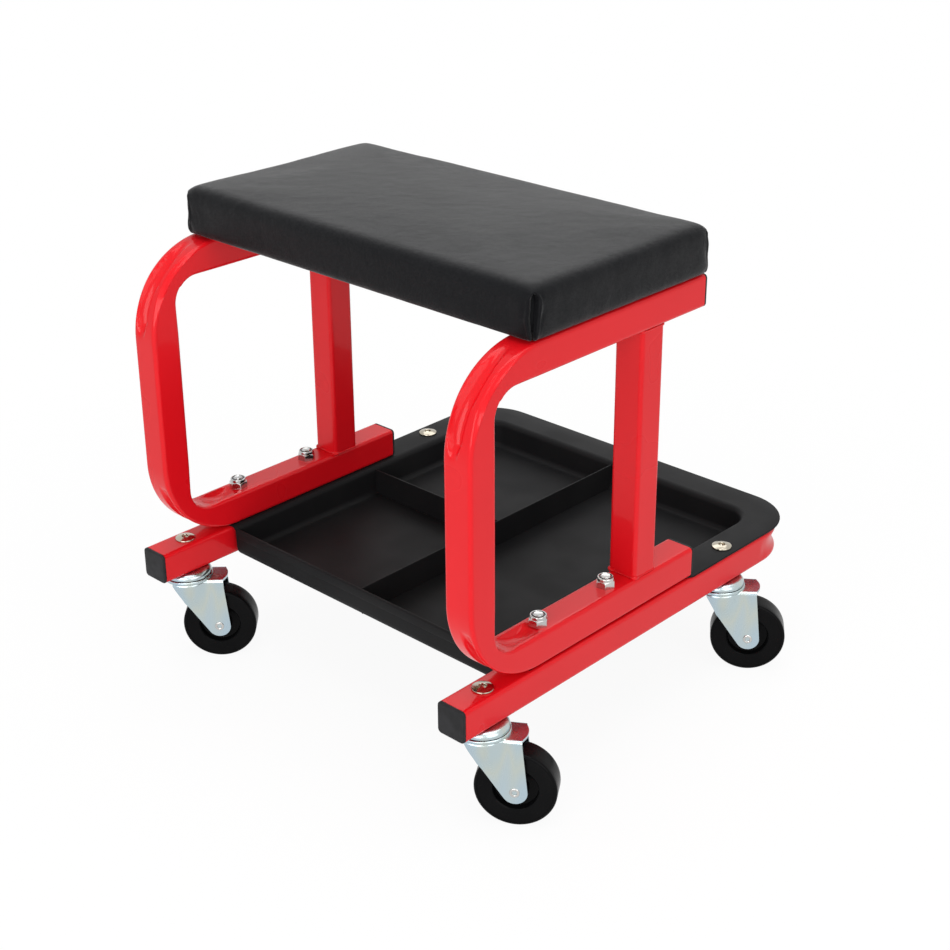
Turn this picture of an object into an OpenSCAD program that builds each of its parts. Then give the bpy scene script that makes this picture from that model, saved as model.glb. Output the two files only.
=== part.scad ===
// Creeper seat: a low rolling stool for a mechanic, with a tool tray under the seat.
// Millimetres. +Z is up and -Y is the front, where the two rails end in plugs.
// The origin is on the floor, under the middle of the base.

/* [Square tube] */
// Outer width of the square tube that the base, side frames and posts are made of
tube_s = 25; // [24:0.5:27]
// Wall thickness of the tube
tube_t = 1.5; // [1:0.1:1.8]
// Outer corner radius of the tube
tube_r = 3; // [2.5:0.1:4]

/* [Base] */
// Width of the base across the outer faces of its rails
base_w = 356; // [350:1:366]
// Distance from the side frames' leg plugs to the back of the base's rear tube
rear_reach = 146; // [136:0.5:156]
// Bend radius of the base's rear corners, at the tube's centreline
base_bend_r = 35; // [30:1:40]

/* [Side frames] */
// Height of a side frame, from the foot of its lower leg to the top of its upper leg
side_h = 246.5; // [220:0.5:280]
// Length of a side frame's legs, from the upright's front face to the leg plugs
side_l = 249.5; // [240:0.5:260]
// Bend radius of the side frames, at the tube's centreline
side_bend_r = 57.5; // [45:0.5:65]
// Radius of the inner wall in the side frames' bends, where the bending has pressed it outward
side_inner_bend_r = 20; // [12:1:30]
// Distance from the rails' plug faces to the front face of the uprights
side_setback = 9; // [0:0.5:14]
// Distance that a side frame's outer face lies inside the rail's outer face
side_inset = 0.5; // [0:0.1:2]
// Distance from the leg plugs to the back face of the rear post
post_setback = 47; // [40:0.5:60]
// Distance that the post's outer face lies inside the side frame's outer face
post_inset = 1.5; // [0:0.1:2]

/* [Tube plugs] */
// Thickness of the cap that covers a tube's end
plug_cap_t = 2.5; // [1.5:0.1:4]
// Length of the plug inside the tube
plug_l = 12; // [8:0.5:16]
// Wall thickness of the hollow plug
plug_wall = 2; // [1.2:0.1:3]
// Clearance between the plug and the tube's wall
plug_clear = 0.1; // [0.05:0.01:0.2]

/* [Tray] */
// Thickness of the tray's sheet steel
tray_t = 1.5; // [1:0.1:2]
// Depth of the tray from the top of its rim to its floor
tray_depth = 24.5; // [20:0.5:26]
// Distance that the rim reaches past the back of the rear tube
rim_overhang = 4.5; // [2:0.5:8]
// Outer corner radius of the rim at the back
rim_corner_r = 45; // [35:1:55]
// Gap between the tray's side walls and the rails
tray_side_gap = 4.5; // [2:0.5:6]
// Gap between the tray's back wall and the rear tube
tray_back_gap = 1; // [0.5:0.1:3]
// Outer corner radius of the tray's walls at the back
tray_back_r = 21; // [15:1:28]
// Outer corner radius of the tray's walls at the front
tray_front_r = 5; // [3:0.5:8]
// Distance from the rails' plug faces to the outside of the tray's front wall
tray_setback = 71.5; // [66:0.5:76]
// Height that the front wall stays below the top of the rim
front_wall_drop = 1.5; // [0:0.1:4]
// Height of the hem folded over the front wall's top edge
hem_h = 7.5; // [4:0.5:12]
// Thickness of the hem's outer layer
hem_t = 1.3; // [1:0.1:2]
// Sheet thickness of the two dividers
divider_t = 1.2; // [0.8:0.1:2]
// Height that the dividers stay below the top of the rim
divider_drop = 2; // [0:0.5:8]
// Distance from the tray's front wall to the short divider
short_divider_setback = 157; // [110:1:200]

/* [Frame bolts] */
// Diameter of the bolts that clamp legs, rim and rails together
frame_bolt_d = 8; // [6:0.5:8]
// Distance from the side frames' lower bends to the front pair of frame bolts
front_bolt_gap = 10.5; // [8:0.5:16]
// Distance from the rear posts to the rear pair of frame bolts
rear_bolt_gap = 20; // [9:0.5:24]
// Width across the flats of the frame bolts' heads and nuts
frame_nut_af = 13; // [12:0.5:14]
// Height of a nut, its collar included
frame_nut_h = 8; // [7:0.1:9]
// Height of the collar that holds the nut's locking ring
nut_collar_h = 1.8; // [1.2:0.1:2.4]
// Height of a frame bolt's head
frame_bolt_head_h = 5.3; // [4:0.1:6]

/* [Seat] */
// Distance that the cushion reaches past each side of the base
seat_side_overhang = 2.5; // [0:0.5:8]
// Depth of the cushion from front to back
seat_d = 196; // [180:1:215]
// Height of the cushion's side, up to where its top edge ends
seat_h = 38.5; // [34:0.5:50]
// Height of the crown in the middle of the cushion's top
seat_crown = 2.5; // [0:0.5:8]
// Radius of the cushion's top edge
seat_edge_r = 9; // [6:0.5:12]
// Corner radius of the cushion, seen from above
seat_corner_r = 12; // [10:1:20]
// Distance that the cushion's sides are drawn in between its corners
seat_draw_in = 1.5; // [0:0.1:4]
// Distance that the cushion reaches past the leg plugs
seat_overhang = 2; // [0:0.5:10]
// Thickness of the cushion's vinyl cover
cover_t = 1.2; // [1:0.1:1.6]
// Width of the cover's strip that is turned in under the board
cover_turn_in = 38; // [34:1:45]
// Thickness of the seat's plywood board
board_t = 12; // [9:0.5:15]
// Gap between the board's edge and the cover, all round at its foot
board_gap = 0.8; // [0.5:0.1:2]
// Corner radius of the board
board_corner_r = 10; // [9:1:16]
// Diameter of the bolts that hold the seat
seat_bolt_d = 6; // [5:0.5:6]
// Distance from the leg plugs to the rear seat bolts
seat_bolt_setback = 24; // [20:0.5:30]
// Distance from the cushion's front to the front seat bolts
seat_front_bolt_setback = 50; // [30:0.5:60]

/* [Casters] */
// Diameter of a wheel
wheel_d = 60; // [56:1:62]
// Distance from the top of the wheels to the rails' underside
caster_head_h = 20; // [19:0.5:28]
// Width of a wheel's tread
wheel_w = 20; // [18:0.5:20.5]
// Distance from the swivel's axis to the wheel's axle, level with the floor
caster_trail = 24.5; // [22:0.5:26]
// Distance from the rails' plug faces to the front swivel axes
front_caster_setback = 32.5; // [30:0.5:36]
// Distance from the back of the rear tube to the rear swivel axes
rear_caster_setback = 91; // [85:0.5:100]
// Swivel angle of the front left caster, the way its wheel trails
yaw_front_left = 44; // [-180:1:180]
// Swivel angle of the front right caster
yaw_front_right = 33; // [-180:1:180]
// Swivel angle of the rear left caster
yaw_rear_left = 40; // [-180:1:180]
// Swivel angle of the rear right caster
yaw_rear_right = 36; // [-180:1:180]

/* [Caster fork] */
// Sheet thickness of the fork
fork_t = 2; // [1.6:0.1:2.5]
// Distance between the fork's two legs
fork_gap = 22; // [22:0.1:24]
// Radius of the fork's round end at the axle
fork_end_r = 9.3; // [8:0.1:11]
// Distance that a fork leg's top reaches in front of the swivel's axis
fork_front = 12; // [10:0.5:16]
// Distance that a fork leg's top reaches behind the swivel's axis
fork_back = 29.5; // [27:0.5:30.5]
// Distance of the knee in the leg's front edge, in front of the swivel's axis
fork_knee = 2; // [0:0.5:6]
// Distance that the knee lies below the rails
fork_knee_drop = 28; // [24:0.5:32]
// Radius of the top plate's curved back edge, about the swivel's axis
fork_tail_r = 32.5; // [31:0.5:34]
// Height of the raised ring around the lower race
fork_ring_h = 1.9; // [1:0.1:2.1]
// Width of the raised ring
fork_ring_w = 2.2; // [1.5:0.1:3]

/* [Caster bearings] */
// Diameter of a bearing ball
ball_d = 6; // [5:0.1:6.5]
// Number of balls in each swivel race
ball_count = 12; // [8:1:14]
// Radius of the circle on which the balls run
ball_circle_r = 14.8; // [14:0.1:16]
// Depth of the groove that the balls run in
groove_depth = 0.6; // [0.4:0.1:1]
// Wall thickness of the upper race
race_t = 1.6; // [1.2:0.1:2]
// Diameter of the threaded stem, which is also the swivel's kingpin
stem_d = 8; // [6:0.5:8]
// Length of the stem above the rails' underside
stem_up_l = 19; // [14:0.5:20]
// Diameter of the washer under the fork
stem_washer_d = 18; // [14:0.5:20]
// Thickness of the washer under the fork
stem_washer_t = 1.6; // [1:0.1:2]
// Diameter of the riveted head under the washer
stem_head_d = 13; // [11:0.5:14]
// Height of the riveted head
stem_head_h = 3; // [2:0.1:4]
// Diameter of the axle
axle_d = 6; // [5:0.1:6.5]
// Diameter of the axle's rolled heads
axle_head_d = 7.4; // [7:0.1:9]
// Height of the axle's rolled heads
axle_head_h = 0.8; // [0.5:0.1:1.5]
// Diameter of the hollow in each end of the axle
axle_hollow_d = 3.2; // [2:0.1:4]
// Depth of the hollow in each end of the axle
axle_hollow_l = 5; // [2:0.5:8]
// Wall thickness of the bush between the axle and the hub
bush_t = 1.9; // [1.5:0.1:2.2]

/* [Caster nuts] */
// Diameter of the round head of a stem nut
stem_nut_head_d = 16; // [15:0.5:18]
// Height of the head's straight edge
stem_nut_edge_h = 1.1; // [0.8:0.1:1.6]
// Height of the dome on the head
stem_nut_dome_h = 1.5; // [0.8:0.1:2]
// Width across the flats of the socket in the head
stem_nut_socket_af = 5; // [4:0.5:6]
// Depth of the socket
stem_nut_socket_l = 1.8; // [1.2:0.1:2]
// Length of the nut's sleeve
stem_nut_sleeve_l = 16; // [12:0.5:18]
// Wall thickness of the nut's sleeve
stem_nut_sleeve_t = 1.5; // [1.2:0.1:1.6]

/* [Hidden] */
// What the cuts run past the faces that they go through
cut_over = 1;
// Clearance between a bolt and a drilled hole
bolt_clear = 0.3;
// Clearance between an outer and an inner thread
thread_clear = 0.08;
// Clearance between balls and races, and above and below the fork
race_clear = 0.2;
// Running clearance of the kingpin in the fork and of the hub on its bush
run_clear = 0.08;
// Clearance of the axle in the fork's legs and the bush
axle_clear = 0.05;
// Side clearance between the hub and each leg of the fork
hub_side_clear = 0.2;
// Depth of the recess in a wheel's side, its radius and the radius of the hub
wheel_recess_l = 3;
wheel_recess_r = 16.5;
hub_r = 9;
// Width of the band that the tread forms in a wheel's side, the height of the step inside that
// band, and the radius of the tread's corners
tread_band_w = 2.6;
wheel_rim_l = 0.7;
tread_corner_r = 2.2;
// Locking ring in a frame nut, its radial clearance and the collar's wall
nut_ring_clear = 0.1;
nut_collar_wall = 1.1;
nut_ring_t = 1.3;
// Height of the slope on the nuts' and bolt heads' corners
hex_slope_h = 1.2;
// Length of bolt that shows above a frame nut
bolt_show_l = 0.6;
// Seat bolt heads, tee nuts and staples
seat_bolt_af = 10;
seat_bolt_head_h = 4;
tee_flange_d = 17;
tee_flange_t = 1.2;
tee_barrel_t = 1.4;
tee_barrel_l = 9;
staple_l = 10;
staple_wire = 0.6;
staple_inset = 33;
staples_across = 9;
staples_deep = 4;
// Clearance between foam, cover and board
foam_clear = 0.3;
// Steps of the cushion's corners and counts of points along its sides
corner_steps = 5;
points_across = 6;
points_deep = 4;
// Width that the cushion's lower edge is tucked in by, and the height of that tuck
tuck_w = 2.5;
tuck_h = 3;
// Heights of the cushion's levels between tuck and top edge, as shares of that height
side_level_shares = [0.25, 0.75];
// Sweep of the top edge in degrees, and how far in the crown's levels lie, as shares of the half depth
edge_angles = [0, 30, 60, 90];
crown_shares = [0.2, 0.42, 0.68];

// Sizes and places that follow from the sizes above
base_l = side_setback + side_l + rear_reach;
seat_w = base_w + 2 * seat_side_overhang;
caster_h = wheel_d + caster_head_h;
front_y = -(base_l + rim_overhang) / 2;
back_y = front_y + base_l;
rim_back_y = back_y + rim_overhang;
rail_x = (base_w - tube_s) / 2;
rail_top = caster_h + tube_s;
rim_top = rail_top + tray_t;
leg_x = base_w / 2 - side_inset - tube_s / 2;
side_y = front_y + side_setback;
leg_end_y = side_y + side_l;
lower_leg_top = rim_top + tube_s;
side_top = rim_top + side_h;
upper_leg_foot = side_top - tube_s;
post_x = leg_x - post_inset;
post_y = leg_end_y - post_setback - tube_s / 2;
tray_w = base_w - 2 * tube_s - 2 * tray_side_gap;
tray_y = front_y + tray_setback;
tray_back = back_y - tube_s - tray_back_gap;
tray_floor = rim_top - tray_depth;
divider_top = rim_top - divider_drop;
short_divider_y = tray_y + short_divider_setback;
frame_bolt_ys = [
    side_y + tube_s / 2 + side_bend_r + front_bolt_gap,
    post_y - tube_s / 2 - rear_bolt_gap
];
seat_back_y = leg_end_y + seat_overhang;
seat_y = seat_back_y - seat_d / 2;
board_inset = cover_t + tuck_w + seat_draw_in + board_gap;
board_w = seat_w - 2 * board_inset;
board_d = seat_d - 2 * board_inset;
board_foot = side_top + cover_t;
board_top = board_foot + board_t;
seat_bolt_ys = [leg_end_y - seat_bolt_setback, seat_y - seat_d / 2 + seat_front_bolt_setback];
ball_z = caster_h - race_t - race_clear - ball_d / 2;
fork_top = ball_z - ball_d / 2 - race_clear + groove_depth;
axle_z = wheel_d / 2;
hub_w = fork_gap - 2 * hub_side_clear;
bush_r = axle_d / 2 + axle_clear + bush_t;
race_r = ball_d / 2 + race_clear + race_t;
stem_hole_r = stem_d / 2 + bolt_clear;
sleeve_r = stem_d / 2 + thread_clear + stem_nut_sleeve_t;
hex_share = 1 / cos(30);

corners = ["front_left", "front_right", "rear_left", "rear_right"];
caster_spots = [
    [-rail_x, front_y + front_caster_setback, yaw_front_left],
    [rail_x, front_y + front_caster_setback, yaw_front_right],
    [-rail_x, back_y - rear_caster_setback, yaw_rear_left],
    [rail_x, back_y - rear_caster_setback, yaw_rear_right]
];
caster_nodes = [
    "caster_stem", "upper_race", "race_balls", "fork", "fork_washer", "axle", "axle_bush", "wheel"
];

// Shared shapes

module rounded_strip(w, d, r) {
    square([w, d - 2 * r], center = true);
    square([w - 2 * r, d], center = true);
    for (x = [-1, 1], y = [-1, 1])
        translate([x * (w / 2 - r), y * (d / 2 - r)]) circle(r, $fn = 32);
}

module rounded_square(size, r) {
    rounded_strip(size, size, r);
}

module tube_section() {
    difference() {
        rounded_square(tube_s, tube_r);
        rounded_square(tube_s - 2 * tube_t, tube_r - tube_t);
    }
}

module straight_tube(l) {
    linear_extrude(l) tube_section();
}

module tube_bend(r) {
    rotate_extrude(angle = 90, $fn = 96) translate([r, 0]) tube_section();
}

// A cap with a hollow plug behind it, lying along +Z with its outer face at zero
module tube_plug() {
    plug_s = tube_s - 2 * tube_t - 2 * plug_clear;
    linear_extrude(plug_cap_t) rounded_square(tube_s, tube_r);
    translate([0, 0, plug_cap_t])
        linear_extrude(plug_l)
            difference() {
                rounded_square(plug_s, tube_r - tube_t);
                square(plug_s - 2 * plug_wall, center = true);
            }
}

module hexagon(af, h) {
    cylinder(h = h, r = af / 2 * hex_share, $fn = 6);
}

// A hexagon whose corners slope away at its top
module sloped_hexagon(af, h) {
    intersection() {
        hexagon(af, h);
        union() {
            cylinder(h = h - hex_slope_h, r = af, $fn = 48);
            translate([0, 0, h - hex_slope_h])
                cylinder(h = hex_slope_h, r1 = af / 2 * hex_share, r2 = af / 2, $fn = 48);
        }
    }
}

// A slice of a sphere, dome_h high on a circle of radius r
module dome(r, dome_h) {
    ball_r = (r * r + dome_h * dome_h) / (2 * dome_h);
    translate([0, 0, dome_h - ball_r])
        intersection() {
            sphere(ball_r, $fn = 64);
            translate([-r, -r, ball_r - dome_h]) cube([2 * r, 2 * r, dome_h]);
        }
}

// Base

module base_frame() {
    plug_face_y = front_y + plug_cap_t;
    bend_x = rail_x - base_bend_r;
    bend_y = back_y - tube_s / 2 - base_bend_r;
    color("red") difference() {
        translate([0, 0, caster_h + tube_s / 2]) {
            for (side = [-1, 1]) {
                translate([side * rail_x, plug_face_y, 0])
                    rotate([-90, 0, 0]) straight_tube(bend_y - plug_face_y);
                translate([side * bend_x, bend_y, 0])
                    rotate([0, 0, side > 0 ? 0 : 90]) tube_bend(base_bend_r);
            }
            translate([-bend_x, bend_y + base_bend_r, 0]) rotate([0, 90, 0]) straight_tube(2 * bend_x);
        }
        for (side = [-1, 1], y = frame_bolt_ys)
            translate([side * rail_x, y, caster_h - cut_over])
                cylinder(h = tube_s + 2 * cut_over, r = frame_bolt_d / 2 + bolt_clear, $fn = 48);
        for (spot = caster_spots) translate([spot[0], spot[1], caster_h]) {
            translate([0, 0, -cut_over]) cylinder(h = tube_s / 2, r = stem_hole_r, $fn = 48);
            translate([0, 0, tube_s / 2])
                cylinder(h = tube_s / 2 + cut_over, r = sleeve_r + bolt_clear, $fn = 48);
        }
    }
}

module rail_plug(side) {
    color("black") translate([side * rail_x, front_y, caster_h + tube_s / 2])
        rotate([-90, 0, 0]) tube_plug();
}

// Tray

// Plan of the tray's walls, with its own radius at the front and the back corners
module tray_plan(inset) {
    w = tray_w - 2 * inset;
    y0 = tray_y + inset;
    y1 = tray_back - inset;
    rf = tray_front_r - inset;
    rb = tray_back_r - inset;
    translate([rb - w / 2, y0 + rf]) square([w - 2 * rb, y1 - y0 - rf]);
    translate([-w / 2, y0 + rf]) square([w, y1 - y0 - rf - rb]);
    translate([rf - w / 2, y0]) square([w - 2 * rf, rf]);
    for (side = [-1, 1]) {
        translate([side * (w / 2 - rf), y0 + rf]) circle(rf, $fn = 48);
        translate([side * (w / 2 - rb), y1 - rb]) circle(rb, $fn = 64);
    }
}

module rim_plan() {
    translate([-base_w / 2, tray_y]) square([base_w, rim_back_y - rim_corner_r - tray_y]);
    translate([rim_corner_r - base_w / 2, tray_y])
        square([base_w - 2 * rim_corner_r, rim_back_y - tray_y]);
    for (side = [-1, 1])
        translate([side * (base_w / 2 - rim_corner_r), rim_back_y - rim_corner_r])
            circle(rim_corner_r, $fn = 96);
}

module tray() {
    color("dimgray") {
        difference() {
            union() {
                translate([0, 0, tray_floor - tray_t]) linear_extrude(tray_depth + tray_t) tray_plan(0);
                translate([0, 0, rail_top]) linear_extrude(tray_t) rim_plan();
            }
            translate([0, 0, tray_floor]) linear_extrude(tray_depth + cut_over) tray_plan(tray_t);
            translate([tray_front_r - tray_w / 2, tray_y - cut_over, rim_top - front_wall_drop])
                cube([tray_w - 2 * tray_front_r, tray_front_r + cut_over, front_wall_drop + cut_over]);
            for (side = [-1, 1], y = frame_bolt_ys)
                translate([side * rail_x, y, rail_top - cut_over])
                    cylinder(h = tray_t + 2 * cut_over, r = frame_bolt_d / 2 + bolt_clear, $fn = 48);
            for (side = [-1, 1])
                translate([side * rail_x, back_y - rear_caster_setback, rail_top - cut_over])
                    cylinder(h = tray_t + 2 * cut_over, r = sleeve_r + bolt_clear, $fn = 48);
        }
        translate([tray_front_r - tray_w / 2, tray_y - hem_t, rim_top - front_wall_drop - hem_h])
            cube([tray_w - 2 * tray_front_r, hem_t + tray_t / 2, hem_h]);
    }
}

module long_divider() {
    color("dimgray") translate([-divider_t / 2, tray_y + tray_t, tray_floor])
        cube([divider_t, tray_back - tray_y - 2 * tray_t, divider_top - tray_floor]);
}

module short_divider() {
    color("dimgray") translate([tray_t - tray_w / 2, short_divider_y, tray_floor])
        cube([tray_w / 2 - tray_t - divider_t / 2, divider_t, divider_top - tray_floor]);
}

// Side frames

// What lies between the outer and the inner wall of a side frame's bend, both moved inward by inset.
// The outer wall turns about zero, the inner wall turns tighter and runs on straight to the same ends.
module side_turn(inset) {
    outer_r = side_bend_r + tube_s / 2 - inset;
    inner_r = side_inner_bend_r + inset;
    inner_face = side_bend_r - tube_s / 2 + inset;
    inner_at = inner_face - inner_r;
    w = tube_s - 2 * inset;
    edge_r = tube_r - inset;
    intersection() {
        rotate([0, 0, 180]) rotate_extrude(angle = 90, $fn = 96)
            translate([outer_r - tube_s, 0]) rounded_strip(2 * tube_s, w, edge_r);
        union() {
            translate([-inner_at, -inner_at, 0]) rotate([0, 0, 180]) rotate_extrude(angle = 90, $fn = 96)
                translate([inner_r + tube_s, 0]) rounded_strip(2 * tube_s, w, edge_r);
            translate([-inner_face - tube_s, -inner_at, 0]) rotate([-90, 0, 0])
                linear_extrude(inner_at + cut_over) rounded_strip(2 * tube_s, w, edge_r);
            translate([-inner_at, -inner_face - tube_s, 0]) rotate([0, 90, 0])
                linear_extrude(inner_at + cut_over) rounded_strip(w, 2 * tube_s, edge_r);
        }
    }
}

module side_bend() {
    difference() {
        side_turn(0);
        side_turn(tube_t);
    }
}

// The bent tube of a side frame, drawn with its legs along X and its upright along Y
module bent_side() {
    foot = tube_s / 2;
    head = side_h - tube_s / 2;
    bend_x = tube_s / 2 + side_bend_r;
    leg_l = side_l - plug_cap_t - bend_x;
    for (y = [foot, head])
        translate([bend_x, y, 0]) rotate([0, 90, 0]) straight_tube(leg_l);
    translate([tube_s / 2, foot + side_bend_r, 0])
        rotate([-90, 0, 0]) straight_tube(head - foot - 2 * side_bend_r);
    translate([bend_x, foot + side_bend_r, 0]) side_bend();
    translate([bend_x, head - side_bend_r, 0]) mirror([0, 1, 0]) side_bend();
}

module side_frame(side) {
    color("red") difference() {
        translate([side * leg_x, side_y, rim_top]) rotate([90, 0, 90]) bent_side();
        for (y = frame_bolt_ys)
            translate([side * rail_x, y, rim_top - cut_over])
                cylinder(h = tube_s + 2 * cut_over, r = frame_bolt_d / 2 + bolt_clear, $fn = 48);
        for (y = seat_bolt_ys)
            translate([side * leg_x, y, upper_leg_foot - cut_over])
                cylinder(h = tube_s + 2 * cut_over, r = seat_bolt_d / 2 + bolt_clear, $fn = 48);
    }
}

module rear_post(side) {
    color("red") translate([side * post_x, post_y, lower_leg_top])
        straight_tube(upper_leg_foot - lower_leg_top);
}

module leg_plug(side, foot) {
    color("black") translate([side * leg_x, leg_end_y, foot + tube_s / 2])
        rotate([90, 0, 0]) tube_plug();
}

// Frame bolts and nuts

module frame_bolts() {
    bolt_l = tube_s + tray_t + tube_s + frame_nut_h + bolt_show_l;
    color("silver") for (side = [-1, 1], y = frame_bolt_ys)
        translate([side * rail_x, y, caster_h]) {
            mirror([0, 0, 1]) sloped_hexagon(frame_nut_af, frame_bolt_head_h);
            cylinder(h = bolt_l, r = frame_bolt_d / 2, $fn = 48);
        }
}

module frame_nuts() {
    bolt_r = frame_bolt_d / 2 + thread_clear;
    collar_r = bolt_r + nut_ring_t + nut_ring_clear;
    color("silver") for (side = [-1, 1], y = frame_bolt_ys)
        translate([side * rail_x, y, lower_leg_top]) difference() {
            union() {
                sloped_hexagon(frame_nut_af, frame_nut_h - nut_collar_h);
                cylinder(h = frame_nut_h, r = collar_r + nut_collar_wall, $fn = 48);
            }
            translate([0, 0, -cut_over]) cylinder(h = frame_nut_h + 2 * cut_over, r = bolt_r, $fn = 48);
            translate([0, 0, frame_nut_h - nut_collar_h])
                cylinder(h = nut_collar_h + cut_over, r = collar_r, $fn = 48);
        }
}

module nut_locking_rings() {
    bolt_r = frame_bolt_d / 2 + thread_clear;
    color("gainsboro") for (side = [-1, 1], y = frame_bolt_ys)
        translate([side * rail_x, y, lower_leg_top + frame_nut_h - nut_collar_h]) difference() {
            cylinder(h = nut_collar_h * 2 / 3, r = bolt_r + nut_ring_t, $fn = 48);
            translate([0, 0, -cut_over]) cylinder(h = nut_collar_h + 2 * cut_over, r = bolt_r, $fn = 48);
        }
}

// Seat

module rounded_plate(w, d, r, h) {
    linear_extrude(h) {
        square([w - 2 * r, d], center = true);
        square([w, d - 2 * r], center = true);
        for (x = [-1, 1], y = [-1, 1])
            translate([x * (w / 2 - r), y * (d / 2 - r)]) circle(r, $fn = 48);
    }
}

// Points of a corner, and of a side that is drawn in between its ends
function corner_points(x, y, r, start) =
    [for (i = [0:corner_steps]) let (a = start + 90 * i / corner_steps) [x, y] + r * [cos(a), sin(a)]];
function side_points(from, to, count, inward) =
    [for (i = [1:count]) let (t = i / (count + 1)) from + (to - from) * t + inward * sin(180 * t)];

// One level of the cushion: a rounded rectangle of half width w and half depth d
function level_points(w, d, r, draw) = concat(
    corner_points(w - r, d - r, r, 0), side_points([w - r, d], [r - w, d], points_across, [0, -draw]),
    corner_points(r - w, d - r, r, 90), side_points([-w, d - r], [-w, r - d], points_deep, [draw, 0]),
    corner_points(r - w, r - d, r, 180), side_points([r - w, -d], [w - r, -d], points_across, [0, draw]),
    corner_points(w - r, r - d, r, 270), side_points([w, r - d], [w, d - r], points_deep, [-draw, 0])
);

// Inset and height of every level, from the underside to the crown, for a form that lies t inside the cover
function cushion_levels(t) =
    let (
        edge = seat_edge_r - t,
        low = t + tuck_h,
        high = seat_h - t - edge,
        reach = seat_d / 2 - t
    )
    concat(
        [[tuck_w, t], [tuck_w / 3, t + tuck_h / 3], [0, low]],
        [for (share = side_level_shares) [0, low + (high - low) * share]],
        [for (a = edge_angles) [edge * (1 - cos(a)), high + edge * sin(a)]],
        [for (share = crown_shares)
            [reach * share, seat_h - t + seat_crown * sin(90 * share / crown_shares[2])]]
    );

// The cushion's form, t inside the cover's outer face, as one closed skin of triangles
module cushion_form(t) {
    levels = cushion_levels(t);
    half_w = seat_w / 2 - t;
    half_d = seat_d / 2 - t;
    rings = [
        for (level = levels)
            let (
                inset = level[0],
                r = max(seat_corner_r - t - inset / 2, (half_d - inset) / 8)
            )
            [for (p = level_points(half_w - inset, half_d - inset, r, seat_draw_in)) [p[0], p[1], level[1]]]
    ];
    count = len(rings[0]);
    last = len(rings) - 1;
    points = concat(
        [for (ring = rings) each ring],
        [[0, 0, levels[0][1]], [0, 0, levels[last][1]]]
    );
    foot = len(points) - 2;
    crown = len(points) - 1;
    faces = concat(
        [for (k = [0:last - 1]) for (i = [0:count - 1])
            each let (j = (i + 1) % count, a = k * count, b = a + count)
                [[a + i, b + i, b + j], [a + i, b + j, a + j]]],
        [for (i = [0:count - 1]) [foot, i, (i + 1) % count]],
        [for (i = [0:count - 1]) [crown, last * count + (i + 1) % count, last * count + i]]
    );
    translate([0, seat_y, side_top]) polyhedron(points, faces, convexity = 4);
}

// Straight holes for the seat bolts, between two heights
module at_seat_bolts(z) {
    for (side = [-1, 1], y = seat_bolt_ys) translate([side * leg_x, y, z]) children();
}

tee_r = seat_bolt_d / 2 + thread_clear + tee_barrel_t;

module seat_board() {
    color("burlywood") difference() {
        translate([0, seat_y, board_foot])
            rounded_plate(board_w, board_d, board_corner_r, board_t);
        at_seat_bolts(board_foot - cut_over)
            cylinder(h = board_t + 2 * cut_over, r = tee_r + thread_clear, $fn = 48);
    }
}

module seat_foam() {
    color("khaki") difference() {
        cushion_form(cover_t + foam_clear);
        translate([0, seat_y, side_top])
            rounded_plate(
                board_w + 2 * foam_clear, board_d + 2 * foam_clear, board_corner_r, board_top - side_top
            );
        at_seat_bolts(board_foot)
            cylinder(h = board_t + tee_flange_t + foam_clear, r = tee_flange_d / 2 + foam_clear, $fn = 24);
    }
}

module seat_cover() {
    color("black") difference() {
        cushion_form(0);
        cushion_form(cover_t);
        translate([cover_turn_in - seat_w / 2, seat_y + cover_turn_in - seat_d / 2, side_top - cut_over])
            cube([seat_w - 2 * cover_turn_in, seat_d - 2 * cover_turn_in, board_t]);
        at_seat_bolts(side_top - cut_over)
            cylinder(h = board_t, r = seat_bolt_d / 2 + bolt_clear, $fn = 24);
    }
}

module seat_bolts() {
    color("silver") at_seat_bolts(upper_leg_foot) {
        mirror([0, 0, 1]) sloped_hexagon(seat_bolt_af, seat_bolt_head_h);
        cylinder(h = board_top - upper_leg_foot, r = seat_bolt_d / 2, $fn = 48);
    }
}

module seat_tee_nuts() {
    total_l = tee_barrel_l + tee_flange_t;
    color("silver") at_seat_bolts(board_top) difference() {
        union() {
            cylinder(h = tee_flange_t, r = tee_flange_d / 2, $fn = 48);
            translate([0, 0, -tee_barrel_l]) cylinder(h = total_l, r = tee_r, $fn = 48);
        }
        translate([0, 0, -tee_barrel_l - cut_over])
            cylinder(h = total_l + 2 * cut_over, r = seat_bolt_d / 2 + thread_clear, $fn = 48);
    }
}

module cover_staples() {
    across_l = seat_w - 4 * staple_inset;
    deep_l = seat_d - 4 * staple_inset;
    color("silver") translate([0, seat_y, side_top - staple_wire]) {
        for (y = [-1, 1], i = [0:staples_across - 1])
            translate([across_l * (i / (staples_across - 1) - 0.5), y * (seat_d / 2 - staple_inset), 0])
                translate([-staple_l / 2, -staple_wire / 2, 0]) cube([staple_l, staple_wire, staple_wire]);
        for (x = [-1, 1], i = [0:staples_deep - 1])
            translate([x * (seat_w / 2 - staple_inset), deep_l * (i / (staples_deep - 1) - 0.5), 0])
                translate([-staple_wire / 2, -staple_l / 2, 0]) cube([staple_wire, staple_l, staple_wire]);
    }
}

// Casters: every piece is drawn with its wheel trailing along +X, then turned to its place

module at_caster(i) {
    translate([caster_spots[i][0], caster_spots[i][1], 0]) rotate([0, 0, caster_spots[i][2]]) children();
}

// Something drawn along Z is laid along the axle, which runs through the origin of its drawing
module along_axle() {
    translate([caster_trail, 0, axle_z]) rotate([90, 0, 0]) children();
}

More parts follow.
